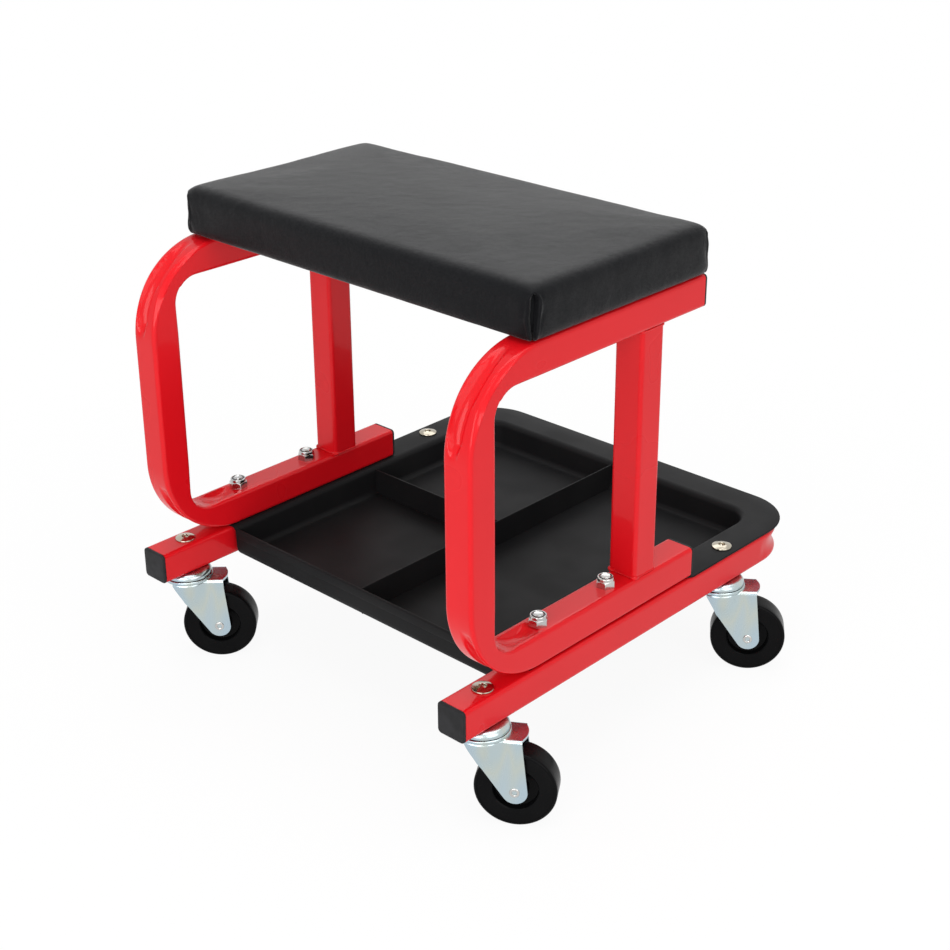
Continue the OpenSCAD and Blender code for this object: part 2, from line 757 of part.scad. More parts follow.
module stem_nuts() {
    color("silver") for (i = [0:3]) {
        rear = i > 1;
        translate([caster_spots[i][0], caster_spots[i][1], rear ? rim_top : rail_top]) difference() {
            union() {
                cylinder(h = stem_nut_edge_h, r = stem_nut_head_d / 2, $fn = 64);
                translate([0, 0, stem_nut_edge_h]) dome(stem_nut_head_d / 2, stem_nut_dome_h);
                translate([0, 0, -stem_nut_sleeve_l])
                    cylinder(h = stem_nut_sleeve_l + stem_nut_edge_h / 2, r = sleeve_r, $fn = 48);
            }
            translate([0, 0, stem_nut_edge_h + stem_nut_dome_h - stem_nut_socket_l])
                hexagon(stem_nut_socket_af, stem_nut_socket_l + cut_over);
            translate([0, 0, -stem_nut_sleeve_l - cut_over])
                cylinder(h = stem_nut_sleeve_l + cut_over, r = stem_d / 2 + thread_clear, $fn = 48);
        }
    }
}

module caster_stem(i) {
    washer_foot = fork_top - fork_t - race_clear - stem_washer_t;
    color("silver") at_caster(i) {
        translate([0, 0, washer_foot])
            cylinder(h = caster_h + stem_up_l - washer_foot, r = stem_d / 2, $fn = 48);
        translate([0, 0, washer_foot]) mirror([0, 0, 1]) dome(stem_head_d / 2, stem_head_h);
    }
}

module upper_race(i) {
    rim_r = ball_circle_r + race_r;
    color("gainsboro") at_caster(i) difference() {
        union() {
            translate([0, 0, ball_z]) cylinder(h = caster_h - ball_z, r = ball_circle_r, $fn = 96);
            intersection() {
                translate([0, 0, ball_z])
                    rotate_extrude($fn = 96) translate([ball_circle_r, 0]) circle(race_r, $fn = 48);
                translate([0, 0, ball_z]) cylinder(h = race_r, r = rim_r + cut_over, $fn = 96);
            }
        }
        translate([0, 0, ball_z])
            rotate_extrude($fn = 96) translate([ball_circle_r, 0]) circle(race_r - race_t, $fn = 48);
        translate([0, 0, ball_z - cut_over])
            cylinder(h = race_r - race_t + cut_over, r = ball_circle_r, $fn = 96);
        translate([0, 0, ball_z])
            cylinder(h = race_r + cut_over, r = stem_d / 2 + run_clear, $fn = 48);
    }
}

module race_balls(i) {
    color("silver") at_caster(i) for (k = [0:ball_count - 1])
        rotate([0, 0, 360 * k / ball_count])
            translate([ball_circle_r, 0, ball_z]) sphere(ball_d / 2, $fn = 32);
}

module fork_washer(i) {
    color("silver") at_caster(i)
        translate([0, 0, fork_top - fork_t - race_clear - stem_washer_t]) difference() {
            cylinder(h = stem_washer_t, r = stem_washer_d / 2, $fn = 64);
            translate([0, 0, -cut_over])
                cylinder(h = stem_washer_t + 2 * cut_over, r = stem_d / 2 + run_clear, $fn = 48);
        }
}

// Point where a line from p touches a circle, on the side given by turn
function touch(centre, r, p, turn) =
    let (
        v = p - centre,
        a = atan2(v[1], v[0]) + turn * acos(r / norm(v))
    )
    centre + r * [cos(a), sin(a)];

// One leg of the fork, seen from the side
module fork_leg_plan() {
    axle = [caster_trail, axle_z];
    back = [fork_back, fork_top];
    knee = [-fork_knee, caster_h - fork_knee_drop];
    polygon([
        [-fork_front, fork_top], back, touch(axle, fork_end_r, back, -1),
        axle, touch(axle, fork_end_r, knee, 1), knee
    ]);
    translate(axle) circle(fork_end_r, $fn = 64);
}

module fork(i) {
    outer_w = fork_gap + 2 * fork_t;
    ring_in = ball_circle_r + ball_d / 2 + race_clear + race_clear;
    ring_out = ring_in + fork_ring_w;
    color("lightsteelblue") at_caster(i) difference() {
        union() {
            for (y = [fork_gap / 2 + fork_t, -fork_gap / 2])
                translate([0, y, 0]) rotate([90, 0, 0]) linear_extrude(fork_t) fork_leg_plan();
            translate([0, 0, fork_top - fork_t]) linear_extrude(fork_t) intersection() {
                circle(fork_tail_r, $fn = 96);
                translate([-fork_front, -outer_w / 2]) square([fork_front + fork_tail_r, outer_w]);
            }
            translate([0, 0, fork_top - fork_t]) cylinder(h = fork_t, r = ring_out, $fn = 96);
            translate([0, 0, fork_top - fork_t]) difference() {
                cylinder(h = fork_t + fork_ring_h, r = ring_out, $fn = 96);
                cylinder(h = fork_t + fork_ring_h + cut_over, r = ring_in, $fn = 96);
            }
        }
        translate([0, 0, fork_top - fork_t - cut_over])
            cylinder(h = fork_t + 2 * cut_over, r = stem_d / 2 + run_clear, $fn = 48);
        translate([0, 0, ball_z])
            rotate_extrude($fn = 96) translate([ball_circle_r, 0]) circle(ball_d / 2 + race_clear, $fn = 48);
        along_axle() cylinder(h = 2 * outer_w, r = axle_d / 2 + axle_clear, center = true, $fn = 48);
    }
}

module axle(i) {
    half_l = fork_gap / 2 + fork_t;
    color("silver") at_caster(i) along_axle() difference() {
        union() {
            cylinder(h = 2 * half_l, r = axle_d / 2, center = true, $fn = 48);
            for (end = [0, 1]) mirror([0, 0, end]) translate([0, 0, half_l])
                cylinder(h = axle_head_h, r1 = axle_head_d / 2, r2 = axle_d / 2, $fn = 48);
        }
        for (end = [0, 1]) mirror([0, 0, end]) translate([0, 0, half_l + axle_head_h - axle_hollow_l])
            cylinder(h = axle_hollow_l + cut_over, r = axle_hollow_d / 2, $fn = 48);
    }
}

module axle_bush(i) {
    color("gray") at_caster(i) along_axle() difference() {
        cylinder(h = fork_gap, r = bush_r, center = true, $fn = 48);
        cylinder(h = fork_gap + 2 * cut_over, r = axle_d / 2 + axle_clear, center = true, $fn = 48);
    }
}

// Half of the wheel's cross-section, with the axle along Y
module wheel_profile() {
    tread_r = wheel_d / 2;
    rim_r = tread_r - tread_band_w;
    bore_r = bush_r + run_clear;
    corner_y = wheel_w / 2 - tread_corner_r;
    translate([bore_r, -hub_w / 2]) square([hub_r - bore_r, hub_w]);
    translate([bore_r, wheel_recess_l - wheel_w / 2])
        square([rim_r - bore_r, wheel_w - 2 * wheel_recess_l]);
    translate([wheel_recess_r, wheel_rim_l - wheel_w / 2])
        square([rim_r - wheel_recess_r, wheel_w - 2 * wheel_rim_l]);
    translate([rim_r - tread_band_w, -corner_y]) square([2 * tread_band_w, 2 * corner_y]);
    intersection() {
        translate([rim_r, -wheel_w / 2]) square([tread_band_w, wheel_w]);
        union() {
            translate([0, -wheel_w / 2]) square([tread_r - tread_corner_r, wheel_w]);
            for (y = [-corner_y, corner_y])
                translate([tread_r - tread_corner_r, y]) circle(tread_corner_r, $fn = 32);
        }
    }
}

module wheel(i) {
    color("black") at_caster(i) along_axle() rotate_extrude($fn = 128) wheel_profile();
}

base_frame();
rail_plug(-1);  // rail_plug_left
rail_plug(1);  // rail_plug_right
tray();
long_divider();
short_divider();
side_frame(-1);  // side_frame_left
side_frame(1);  // side_frame_right
rear_post(-1);  // rear_post_left
rear_post(1);  // rear_post_right
leg_plug(-1, rim_top);  // lower_leg_plug_left
leg_plug(1, rim_top);  // lower_leg_plug_right
leg_plug(-1, upper_leg_foot);  // upper_leg_plug_left
leg_plug(1, upper_leg_foot);  // upper_leg_plug_right
frame_bolts();
frame_nuts();
nut_locking_rings();
seat_board();
seat_foam();
seat_cover();
seat_bolts();
seat_tee_nuts();
cover_staples();
stem_nuts();
for (i = [0:3]) {
    caster_stem(i);
    upper_race(i);
    race_balls(i);
    fork(i);
    fork_washer(i);
    axle(i);
    axle_bush(i);
    wheel(i);
}
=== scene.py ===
"""The look of the creeper seat: bent red tubes, black tray, vinyl cushion and zinc casters.

Lengths are millimetres until a mesh is made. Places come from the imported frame."""
import math

import bmesh
import bpy
import numpy as np
from mathutils import Matrix, Vector, noise


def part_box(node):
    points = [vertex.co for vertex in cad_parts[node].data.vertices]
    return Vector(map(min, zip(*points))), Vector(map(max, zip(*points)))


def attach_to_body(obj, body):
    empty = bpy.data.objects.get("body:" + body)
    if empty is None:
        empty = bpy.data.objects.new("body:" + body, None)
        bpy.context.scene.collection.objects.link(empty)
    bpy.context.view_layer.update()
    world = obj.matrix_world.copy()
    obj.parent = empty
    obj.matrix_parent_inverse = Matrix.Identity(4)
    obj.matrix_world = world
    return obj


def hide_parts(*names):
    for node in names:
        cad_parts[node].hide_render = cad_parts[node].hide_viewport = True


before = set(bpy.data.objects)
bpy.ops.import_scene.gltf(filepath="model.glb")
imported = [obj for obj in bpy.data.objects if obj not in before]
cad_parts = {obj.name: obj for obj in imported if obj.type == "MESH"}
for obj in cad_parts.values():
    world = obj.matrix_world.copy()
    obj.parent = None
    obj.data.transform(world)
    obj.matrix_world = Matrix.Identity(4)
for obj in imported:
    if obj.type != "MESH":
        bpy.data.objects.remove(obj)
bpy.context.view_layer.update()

MM = 0.001
CORNERS = ("front_left", "front_right", "rear_left", "rear_right")
SIDES = {"left": -1, "right": 1}


def node_box(name):
    """Lowest and highest corner of a CAD node, in millimetres."""
    low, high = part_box(name)
    return low / MM, high / MM


# Boxes of the CAD nodes that the pieces are fitted to
base_low, base_high = node_box("base_frame")
side_low, side_high = node_box("side_frame_right")
post_low, post_high = node_box("rear_post_right")
divider_low, divider_high = node_box("long_divider")
seat_low, seat_high = node_box("seat_cover")
tray_high = node_box("tray")[1]

# Square tube: its size, corner radius, wall and flat half, and the radii of its bends
TUBE = side_high.x - side_low.x
TUBE_R = 3.0
TUBE_WALL = 1.5
FLAT = TUBE / 2 - TUBE_R
SIDE_BEND_R = 57.5
INNER_BEND_R = 20.0
BASE_BEND_R = 35.0

# Middle lines of the tubes, the caps' thickness and where the capped tubes end
RAIL_X = base_high.x - TUBE / 2
RAIL_Z = (base_low.z + base_high.z) / 2
LEG_X = side_high.x - TUBE / 2
LOW_LEG_Z = side_low.z + TUBE / 2
HIGH_LEG_Z = side_high.z - TUBE / 2
POST_X = post_high.x - TUBE / 2
POST_Y = (post_low.y + post_high.y) / 2
CAP = 2.5
LEG_END = node_box("lower_leg_plug_right")[1].y
RAIL_END = node_box("rail_plug_right")[0].y

# Swept tubes: their step near a bend, and how far past its ends the fine steps go
STEP = 1.6
REACH = 42.0

# Points nearer to each other than this are one
SAME_POINT = 0.002


# Finishes

def effect_group(name, inputs, outputs):
    """A new shader node group with its sockets, and its two end nodes."""
    group = bpy.data.node_groups.new(name, "ShaderNodeTree")
    for label, kind, default in inputs:
        socket = group.interface.new_socket(name=label, in_out="INPUT", socket_type=kind)
        if default is not None:
            socket.default_value = default
    for label, kind in outputs:
        group.interface.new_socket(name=label, in_out="OUTPUT", socket_type=kind)
    return group, group.nodes.new("NodeGroupInput"), group.nodes.new("NodeGroupOutput")


def sum_node(tree, operation, first, second=None, third=None):
    """A maths node, fed with sockets or plain numbers; gives its output."""
    node = tree.nodes.new("ShaderNodeMath")
    node.operation = operation
    for socket, value in zip(node.inputs, (first, second, third)):
        if value is None:
            continue
        if isinstance(value, (int, float)):
            socket.default_value = value
        else:
            tree.links.new(value, socket)
    return node.outputs[0]


def noise_node(tree, vector, scale, detail=2.0, roughness=0.5):
    """Soft noise over a vector, at a plain or wired scale; gives its output."""
    node = tree.nodes.new("ShaderNodeTexNoise")
    node.inputs["Detail"].default_value = detail
    node.inputs["Roughness"].default_value = roughness
    tree.links.new(vector, node.inputs["Vector"])
    if isinstance(scale, (int, float)):
        node.inputs["Scale"].default_value = scale
    else:
        tree.links.new(scale, node.inputs["Scale"])
    return node.outputs["Fac"]


def range_node(tree, value, from_low, from_high, to_low=0.0, to_high=1.0):
    """A value taken from one range to another, smoothly; gives its output."""
    node = tree.nodes.new("ShaderNodeMapRange")
    node.interpolation_type = "SMOOTHSTEP"
    tree.links.new(value, node.inputs["Value"])
    for label, bound in (("From Min", from_low), ("From Max", from_high), ("To Min", to_low),
                         ("To Max", to_high)):
        if isinstance(bound, (int, float)):
            node.inputs[label].default_value = bound
        else:
            tree.links.new(bound, node.inputs[label])
    return node.outputs["Result"]


def make_ripple_group():
    """Soft ripples of a given size in metres, such as the skin of powder coat or cast plastic."""
    group, start, end = effect_group(
        "soft_ripple",
        [("Vector", "NodeSocketVector", None), ("Size", "NodeSocketFloat", 0.001)],
        [("Height", "NodeSocketFloat")])
    scale = sum_node(group, "DIVIDE", 1.0, start.outputs["Size"])
    coarse = noise_node(group, start.outputs["Vector"], scale, 1.5)
    fine = noise_node(group, start.outputs["Vector"], sum_node(group, "MULTIPLY", scale, 3.1), 2.0)
    height = sum_node(group, "MULTIPLY_ADD", fine, 0.3, coarse)
    group.links.new(height, end.inputs["Height"])
    return group


def make_patch_group():
    """Large soft patches between 0 and 1, for tone and gloss that wander over a surface."""
    group, start, end = effect_group(
        "wandering_tone",
        [("Vector", "NodeSocketVector", None), ("Size", "NodeSocketFloat", 0.05),
         ("Low", "NodeSocketFloat", 0.0), ("High", "NodeSocketFloat", 1.0)],
        [("Value", "NodeSocketFloat")])
    scale = sum_node(group, "DIVIDE", 1.0, start.outputs["Size"])
    patches = noise_node(group, start.outputs["Vector"], scale, 1.5, 0.4)
    value = range_node(group, patches, 0.25, 0.75, start.outputs["Low"], start.outputs["High"])
    group.links.new(value, end.inputs["Value"])
    return group


def make_speck_group():
    """Sparse fine specks of dust: a mask that is 1 on a speck."""
    group, start, end = effect_group(
        "dust_specks",
        [("Vector", "NodeSocketVector", None), ("Spacing", "NodeSocketFloat", 0.006),
         ("Radius", "NodeSocketFloat", 0.05), ("Share", "NodeSocketFloat", 0.2)],
        [("Mask", "NodeSocketFloat")])
    cells = group.nodes.new("ShaderNodeTexVoronoi")
    group.links.new(start.outputs["Vector"], cells.inputs["Vector"])
    group.links.new(sum_node(group, "DIVIDE", 1.0, start.outputs["Spacing"]), cells.inputs["Scale"])
    near = sum_node(group, "LESS_THAN", cells.outputs["Distance"], start.outputs["Radius"])
    channel = group.nodes.new("ShaderNodeSeparateColor")
    group.links.new(cells.outputs["Color"], channel.inputs["Color"])
    chosen = sum_node(group, "LESS_THAN", channel.outputs["Red"], start.outputs["Share"])
    group.links.new(sum_node(group, "MULTIPLY", near, chosen), end.inputs["Mask"])
    return group


def make_grain_group():
    """Pebbled grain of vinyl: raised cells with creases between them, and finer pores; its crease mask
    carries painted shade.
    """
    group, start, end = effect_group(
        "pebbled_grain",
        [("Vector", "NodeSocketVector", None), ("Cell", "NodeSocketFloat", 0.0011)],
        [("Height", "NodeSocketFloat"), ("Crease Shade", "NodeSocketFloat")])
    scale = sum_node(group, "DIVIDE", 1.0, start.outputs["Cell"])
    cells = group.nodes.new("ShaderNodeTexVoronoi")
    cells.feature = "DISTANCE_TO_EDGE"
    group.links.new(start.outputs["Vector"], cells.inputs["Vector"])
    group.links.new(scale, cells.inputs["Scale"])
    pebble = range_node(group, cells.outputs["Distance"], 0.0, 0.28)
    pores = noise_node(group, start.outputs["Vector"], sum_node(group, "MULTIPLY", scale, 1.7), 3.0)
    group.links.new(sum_node(group, "MULTIPLY_ADD", pores, 0.5, pebble), end.inputs["Height"])
    group.links.new(sum_node(group, "SUBTRACT", 1.0, pebble), end.inputs["Crease Shade"])
    return group


RIPPLE = make_ripple_group()
PATCH = make_patch_group()
SPECK = make_speck_group()
GRAIN = make_grain_group()


class Finish:
    """A material under construction: its shader, its coordinates and the wires between them."""

    def __init__(self, name, metallic=0.0, coat=0.0, coat_roughness=0.1, specular=0.5):
        self.material = bpy.data.materials.new(name)
        self.material.use_nodes = True
        self.tree = self.material.node_tree
        self.shader = self.tree.nodes["Principled BSDF"]
        self.shader.inputs["Metallic"].default_value = metallic
        self.shader.inputs["Coat Weight"].default_value = coat
        self.shader.inputs["Coat Roughness"].default_value = coat_roughness
        self.shader.inputs["Specular IOR Level"].default_value = specular
        self.place = self.tree.nodes.new("ShaderNodeTexCoord").outputs["Object"]

    def effect(self, group, **values):
        """Places a shared effect, with its own values, on the object's coordinates."""
        node = self.tree.nodes.new("ShaderNodeGroup")
        node.node_tree = group
        self.tree.links.new(self.place, node.inputs["Vector"])
        for label, value in values.items():
            node.inputs[label].default_value = value
        return node.outputs

    def tones(self, factor, *colours):
        """A colour ramp over a factor, from the first colour to the last; gives its output."""
        ramp = self.tree.nodes.new("ShaderNodeValToRGB")
        stops = ramp.color_ramp.elements
        for i, colour in enumerate(colours):
            stop = stops[i] if i < 2 else stops.new(1.0)
            stop.position = i / (len(colours) - 1)
            stop.color = (*colour, 1.0)
        self.tree.links.new(factor, ramp.inputs["Fac"])
        return ramp.outputs["Color"]

    def mix(self, factor, first, second):
        """Mixes a colour socket with a plain colour by a mask; gives its output."""
        node = self.tree.nodes.new("ShaderNodeMix")
        node.data_type = "RGBA"
        self.tree.links.new(factor, node.inputs["Factor"])
        self.tree.links.new(first, node.inputs["A"])
        node.inputs["B"].default_value = (*second, 1.0)
        return node.outputs["Result"]

    def feed(self, socket, source):
        """Wires an output to one of the shader's sockets."""
        self.tree.links.new(source, self.shader.inputs[socket])

    def wander(self, size, low=0.0, high=1.0):
        """A value that wanders over the surface, in soft patches of a size in metres."""
        return self.effect(PATCH, Size=size, Low=low, High=high)["Value"]

    def colour(self, size, *colours):
        """Feeds a base colour that wanders between the given ones."""
        self.feed("Base Color", self.tones(self.wander(size), *colours))

    def gloss(self, size, low, high):
        """Feeds a roughness that wanders between two values."""
        self.feed("Roughness", self.wander(size, low, high))

    def bump(self, height, depth, below=None):
        """Feeds a height into the shader's normal; depth is in metres. Bumps can be stacked."""
        node = self.tree.nodes.new("ShaderNodeBump")
        node.inputs["Strength"].default_value = 1.0
        node.inputs["Distance"].default_value = depth
        self.tree.links.new(height, node.inputs["Height"])
        if below is not None:
            self.tree.links.new(below, node.inputs["Normal"])
        self.feed("Normal", node.outputs["Normal"])
        return node.outputs["Normal"]

    def ripple(self, size, depth):
        """Feeds soft ripples into the shader's normal; size and depth are in metres."""
        return self.bump(self.effect(RIPPLE, Size=size)["Height"], depth)

    def stretch(self, scale):
        """Scales the coordinates of the effects that follow, for streaks and bands."""
        node = self.tree.nodes.new("ShaderNodeMapping")
        node.inputs["Scale"].default_value = scale
        self.tree.links.new(self.place, node.inputs["Vector"])
        self.place = node.outputs["Vector"]


def red_powder_coat():
    """Glossy red powder coat with a faint orange peel."""
    paint = Finish("red_powder_coat", coat=0.22, coat_roughness=0.06, specular=0.14)
    paint.colour(0.09, (0.69, 0.005, 0.010), (0.72, 0.006, 0.012))
    paint.gloss(0.05, 0.27, 0.33)
    paint.ripple(0.0022, 0.00002)
    return paint.material


def black_tray_coat():
    """Satin black powder coat of the tray, with a few pale specks."""
    paint = Finish("black_tray_coat", specular=0.08)
    plain = paint.tones(paint.wander(0.06), (0.0085, 0.0085, 0.0092), (0.0105, 0.0104, 0.0108))
    specks = paint.effect(SPECK, Spacing=0.011, Radius=0.024, Share=0.14)["Mask"]
    paint.feed("Base Color", paint.mix(specks, plain, (0.06, 0.06, 0.058)))
    paint.gloss(0.03, 0.44, 0.54)
    paint.ripple(0.0007, 0.00003)
    return paint.material


def black_cap_plastic():
    """Fine matt polyethylene of the tube caps."""
    plastic = Finish("black_cap_plastic", specular=0.12)
    plastic.colour(0.01, (0.016, 0.016, 0.017), (0.024, 0.024, 0.026))
    plastic.gloss(0.006, 0.42, 0.56)
    plastic.ripple(0.0005, 0.00002)
    return plastic.material


def black_vinyl():
    """Black seat vinyl: fine pebbled grain, painted shade in the grain's creases, and a soft sheen."""
    vinyl = Finish("black_vinyl", specular=0.075)
    vinyl.shader.inputs["Sheen Weight"].default_value = 0.20
    vinyl.shader.inputs["Sheen Roughness"].default_value = 0.35
    grain = vinyl.effect(GRAIN, Cell=0.00095)
    plain = vinyl.tones(vinyl.wander(0.05), (0.0046, 0.0050, 0.0062), (0.0056, 0.0060, 0.0074))
    # Painted shade: the base colour is darker in the creases of the grain.
    vinyl.feed("Base Color", vinyl.mix(grain["Crease Shade"], plain, (0.0035, 0.0037, 0.0045)))
    vinyl.gloss(0.06, 0.38, 0.43)
    soft = vinyl.ripple(0.012, 0.00035)
    vinyl.bump(grain["Height"], 0.00007, soft)
    return vinyl.material


def birch_plywood():
    """Birch plywood, with long grain along X."""
    wood = Finish("birch_plywood")
    wood.stretch((0.12, 1.0, 1.0))
    wood.colour(0.004, (0.42, 0.27, 0.13), (0.60, 0.43, 0.25))
    wood.gloss(0.01, 0.55, 0.7)
    wood.ripple(0.0015, 0.0001)
    return wood.material


def bright_metal(name, colours, low, high, upright=1.0):
    """Plated or bare steel whose tone wanders over the given colours, in upright bands if asked."""
    metal = Finish(name, metallic=1.0)
    metal.stretch((1.0, 1.0, upright))
    metal.colour(0.022, *colours)
    metal.gloss(0.012, low, high)
    metal.ripple(0.009, 0.000012)
    return metal.material


def nylon_with_painted_shade():
    """Nylon of the locking rings: its own pale tone darkened to grey as painted shade of the collar's
    recess.
    """
    nylon = Finish("nylon_with_painted_shade", specular=0.3)
    # Painted shade: this grey is partly the nylon's own tone and partly the shade in the recess of the
    # collar.
    nylon.colour(0.006, (0.16, 0.17, 0.19), (0.22, 0.23, 0.25))
    nylon.gloss(0.002, 0.35, 0.5)
    nylon.ripple(0.0008, 0.00003)
    return nylon.material


def black_wheel_plastic():
    """Glossy black polypropylene of the wheels, uneven in its gloss."""
    plastic = Finish("black_wheel_plastic", specular=0.05)
    plastic.colour(0.03, (0.0034, 0.0034, 0.0037), (0.0048, 0.0048, 0.0051))
    plastic.gloss(0.015, 0.20, 0.28)
    plastic.ripple(0.004, 0.00006)
    return plastic.material


RED = red_powder_coat()
TRAY_BLACK = black_tray_coat()
CAP_BLACK = black_cap_plastic()
VINYL = black_vinyl()
PLYWOOD = birch_plywood()
BOLT_ZINC = bright_metal("bright_zinc_bolt", ((0.45, 0.45, 0.45), (0.57, 0.56, 0.54)), 0.14, 0.22)
FORK_ZINC = bright_metal(
    "passivated_zinc_sheet",
    ((0.44, 0.54, 0.62), (0.46, 0.56, 0.60), (0.53, 0.58, 0.54), (0.45, 0.56, 0.63)), 0.22, 0.30, 0.3)
NICKEL = bright_metal("warm_nickel", ((0.40, 0.36, 0.29), (0.52, 0.48, 0.40)), 0.12, 0.20)
BALL_STEEL = bright_metal("ball_steel", ((0.55, 0.55, 0.56), (0.62, 0.62, 0.63)), 0.08, 0.15)
BUSH_STEEL = bright_metal("oiled_bush_steel", ((0.30, 0.30, 0.31), (0.40, 0.40, 0.41)), 0.25, 0.4)
NYLON = nylon_with_painted_shade()
WHEEL_BLACK = black_wheel_plastic()


# Meshes and objects

def linked(name, data):
    """A new object in the scene, for a mesh, a lamp or the camera."""
    obj = bpy.data.objects.new(name, data)
    bpy.context.scene.collection.objects.link(obj)
    return obj


def mesh_object(name, points, faces, material, sharp=38.0):
    """A mesh object from points in millimetres, shaded smooth up to a sharp angle in degrees."""
    mesh = bpy.data.meshes.new(name)
    mesh.from_pydata([Vector(p) * MM for p in points], [], faces)
    finish_mesh(mesh, material, sharp)
    return linked(name, mesh)


def mesh_of(obj):
    """Takes the mesh out of an object that was made only for it."""
    mesh = obj.data
    bpy.data.objects.remove(obj)
    return mesh


def finish_mesh(mesh, material, sharp):
    """Cleans a mesh, turns its faces outwards, shades it and gives it its material."""
    bm = bmesh.new()
    bm.from_mesh(mesh)
    bmesh.ops.remove_doubles(bm, verts=bm.verts, dist=SAME_POINT * MM)
    bmesh.ops.recalc_face_normals(bm, faces=bm.faces)
    bm.to_mesh(mesh)
    bm.free()
    mesh.shade_smooth()
    mesh.set_sharp_from_angle(angle=math.radians(sharp))
    mesh.materials.clear()
    mesh.materials.append(material)


def settle(obj, material, sharp):
    """Applies an object's modifiers to its mesh."""
    bpy.context.view_layer.update()
    graph = bpy.context.evaluated_depsgraph_get()
    mesh = bpy.data.meshes.new_from_object(obj.evaluated_get(graph))
    obj.modifiers.clear()
    obj.data = mesh
    finish_mesh(mesh, material, sharp)


def weld_together(obj, parts, material, sharp):
    """Unites solid parts with an object into one skin, and removes the parts."""
    for part in parts:
        union = obj.modifiers.new("union", "BOOLEAN")
        union.operation = "UNION"
        union.solver = "EXACT"
        union.object = part
    settle(obj, material, sharp)
    for part in parts:
        bpy.data.objects.remove(part)


def attach(obj, body, slot, *nodes):
    """Puts a piece on its body, in place of the nodes that it stands for; the slot is not used."""
    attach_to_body(obj, body)
    if nodes:
        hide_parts(*nodes)


def soften_edges(obj, width):
    """Rounds the sharp edges of an object with a bevel modifier."""
    weld = obj.modifiers.new("weld", "WELD")
    weld.merge_threshold = SAME_POINT * MM
    bevel = obj.modifiers.new("bevel", "BEVEL")
    bevel.width = width * MM
    bevel.segments = 3
    bevel.limit_method = "ANGLE"
    bevel.angle_limit = math.radians(35)
    bevel.harden_normals = True


def dress(node, material, bevel=0.0):
    """Gives a CAD node that stays in view its finish, and rounded edges if asked."""
    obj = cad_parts[node]
    for entry in obj.material_slots:
        entry.material = material
    if bevel:
        soften_edges(obj, bevel)


def smooth_step(low, high, value):
    """0 up to low, 1 from high on, and an easy slope between; low may be the larger one."""
    share = np.clip((value - low) / (high - low), 0.0, 1.0)
    return share * share * (3 - 2 * share)


def ring_faces(rings, count, closed=False):
    """Quads between neighbouring rings of points, and caps on the two ends if the row is open."""
    faces = []
    for k in range(rings - (0 if closed else 1)):
        a, b = k * count, (k + 1) % rings * count
        faces += [(a + i, a + (i + 1) % count, b + (i + 1) % count, b + i) for i in range(count)]
    if not closed:
        faces.append(tuple(reversed(range(count))))
        faces.append(tuple(range((rings - 1) * count, rings * count)))
    return faces


# Square tubes

def square_section(size, radius, flat_steps=20, corner_steps=6):
    """Outline of a rounded square as rows (u, v). It starts on the side where u is highest."""
    flat = size / 2 - radius
    points = []
    for quarter in range(4):
        turn = Matrix.Rotation(math.radians(90 * quarter), 2)
        for i in range(flat_steps + 1):
            points.append(turn @ Vector((size / 2, flat * (2 * i / flat_steps - 1))))
        for i in range(1, corner_steps):
            angle = math.radians(90 * i / corner_steps)
            corner = Vector((flat + radius * math.cos(angle), flat + radius * math.sin(angle)))
            points.append(turn @ corner)
    return np.array(points)


def bent_path(corners, radius):
    """A path of straight runs with round bends between them.

    Gives its stations (distance, point, forward), and each bend as (start, end) along the path."""
    corners = [Vector(c) for c in corners]
    stations = []
    bends = []
    travelled = 0.0
    here = corners[0]
    for i, corner in enumerate(corners[1:], 1):
        last = i == len(corners) - 1
        forward = (corner - corners[i - 1]).normalized()
        run = (corner - here).length - (0 if last else radius)
        marks = {0.0, run}
        for k in range(1, round(REACH / STEP) + 1):
            marks |= ({k * STEP} if i > 1 else set()) | (set() if last else {run - k * STEP})
        for mark in sorted(m for m in marks if 0 <= m <= run):
            stations.append((travelled + mark, here + forward * mark, forward))
        travelled += run
        here = here + forward * run
        if last:
            break
        onward = (corners[i + 1] - corner).normalized()
        centre = here + onward * radius
        bend_l = radius * math.pi / 2
        bends.append((travelled, travelled + bend_l))
        count = round(bend_l / STEP)
        for k in range(1, count):
            c, s = math.cos(math.pi / 2 * k / count), math.sin(math.pi / 2 * k / count)
            point = centre + (forward * s - onward * c) * radius
            stations.append((travelled + bend_l * k / count, point, forward * c + onward * s))
        travelled += bend_l
        here = centre + forward * radius
    return stations, bends


def swept_tube(name, corners, radius, out_turn, place, dents, material):
    """A hollow square tube swept along a flat path.

    out_turn is 1 or -1: the side of the path that faces out of its bends. place turns a point of the
    path's plane and a height off that plane into a point of the object. dents(distance, u, v, bends)
    gives what the bending did to the section."""
    stations, bends = bent_path(corners, radius)
    outer = square_section(TUBE, TUBE_R)
    inner = square_section(TUBE - 2 * TUBE_WALL, TUBE_R - TUBE_WALL)
    skins = []
    for section in (outer, inner):
        skin = []
        for distance, point, forward in stations:
            out = Vector((forward.y, -forward.x)) * out_turn
            du, dv = dents(distance, outer[:, 0], outer[:, 1], bends)
            for u, v in section + np.stack([du, dv], axis=1):
                skin.append(place(point + out * u, v))
        skins.append(skin)
    count = len(outer)
    rings = len(stations)
    total = rings * count
    faces = []
    for k in range(rings - 1):
        for i in range(count):
            a, b = k * count + i, k * count + (i + 1) % count
            faces.append((a, b, b + count, a + count))
            faces.append((total + a, total + a + count, total + b + count, total + b))
    for start in (0, (rings - 1) * count):
        for i in range(count):
            a, b = start + i, start + (i + 1) % count
            faces.append((a, b, total + b, total + a))
    return mesh_object(name, skins[0] + skins[1], faces, material)


# What the bender leaves. A hollow is given as half its length, half its width and its depth
LEG_HOLLOW = (19.0, 8.4, 4.4)
LEAF_DENT = (26.0, 4.6, 4.4)
BASE_HOLLOW_W = 8.8
BASE_HOLLOW_DEEP = 3.0
LONG_HOLLOW_DEEP = 6.6
PINCH = 1.2
FACET = 2.5

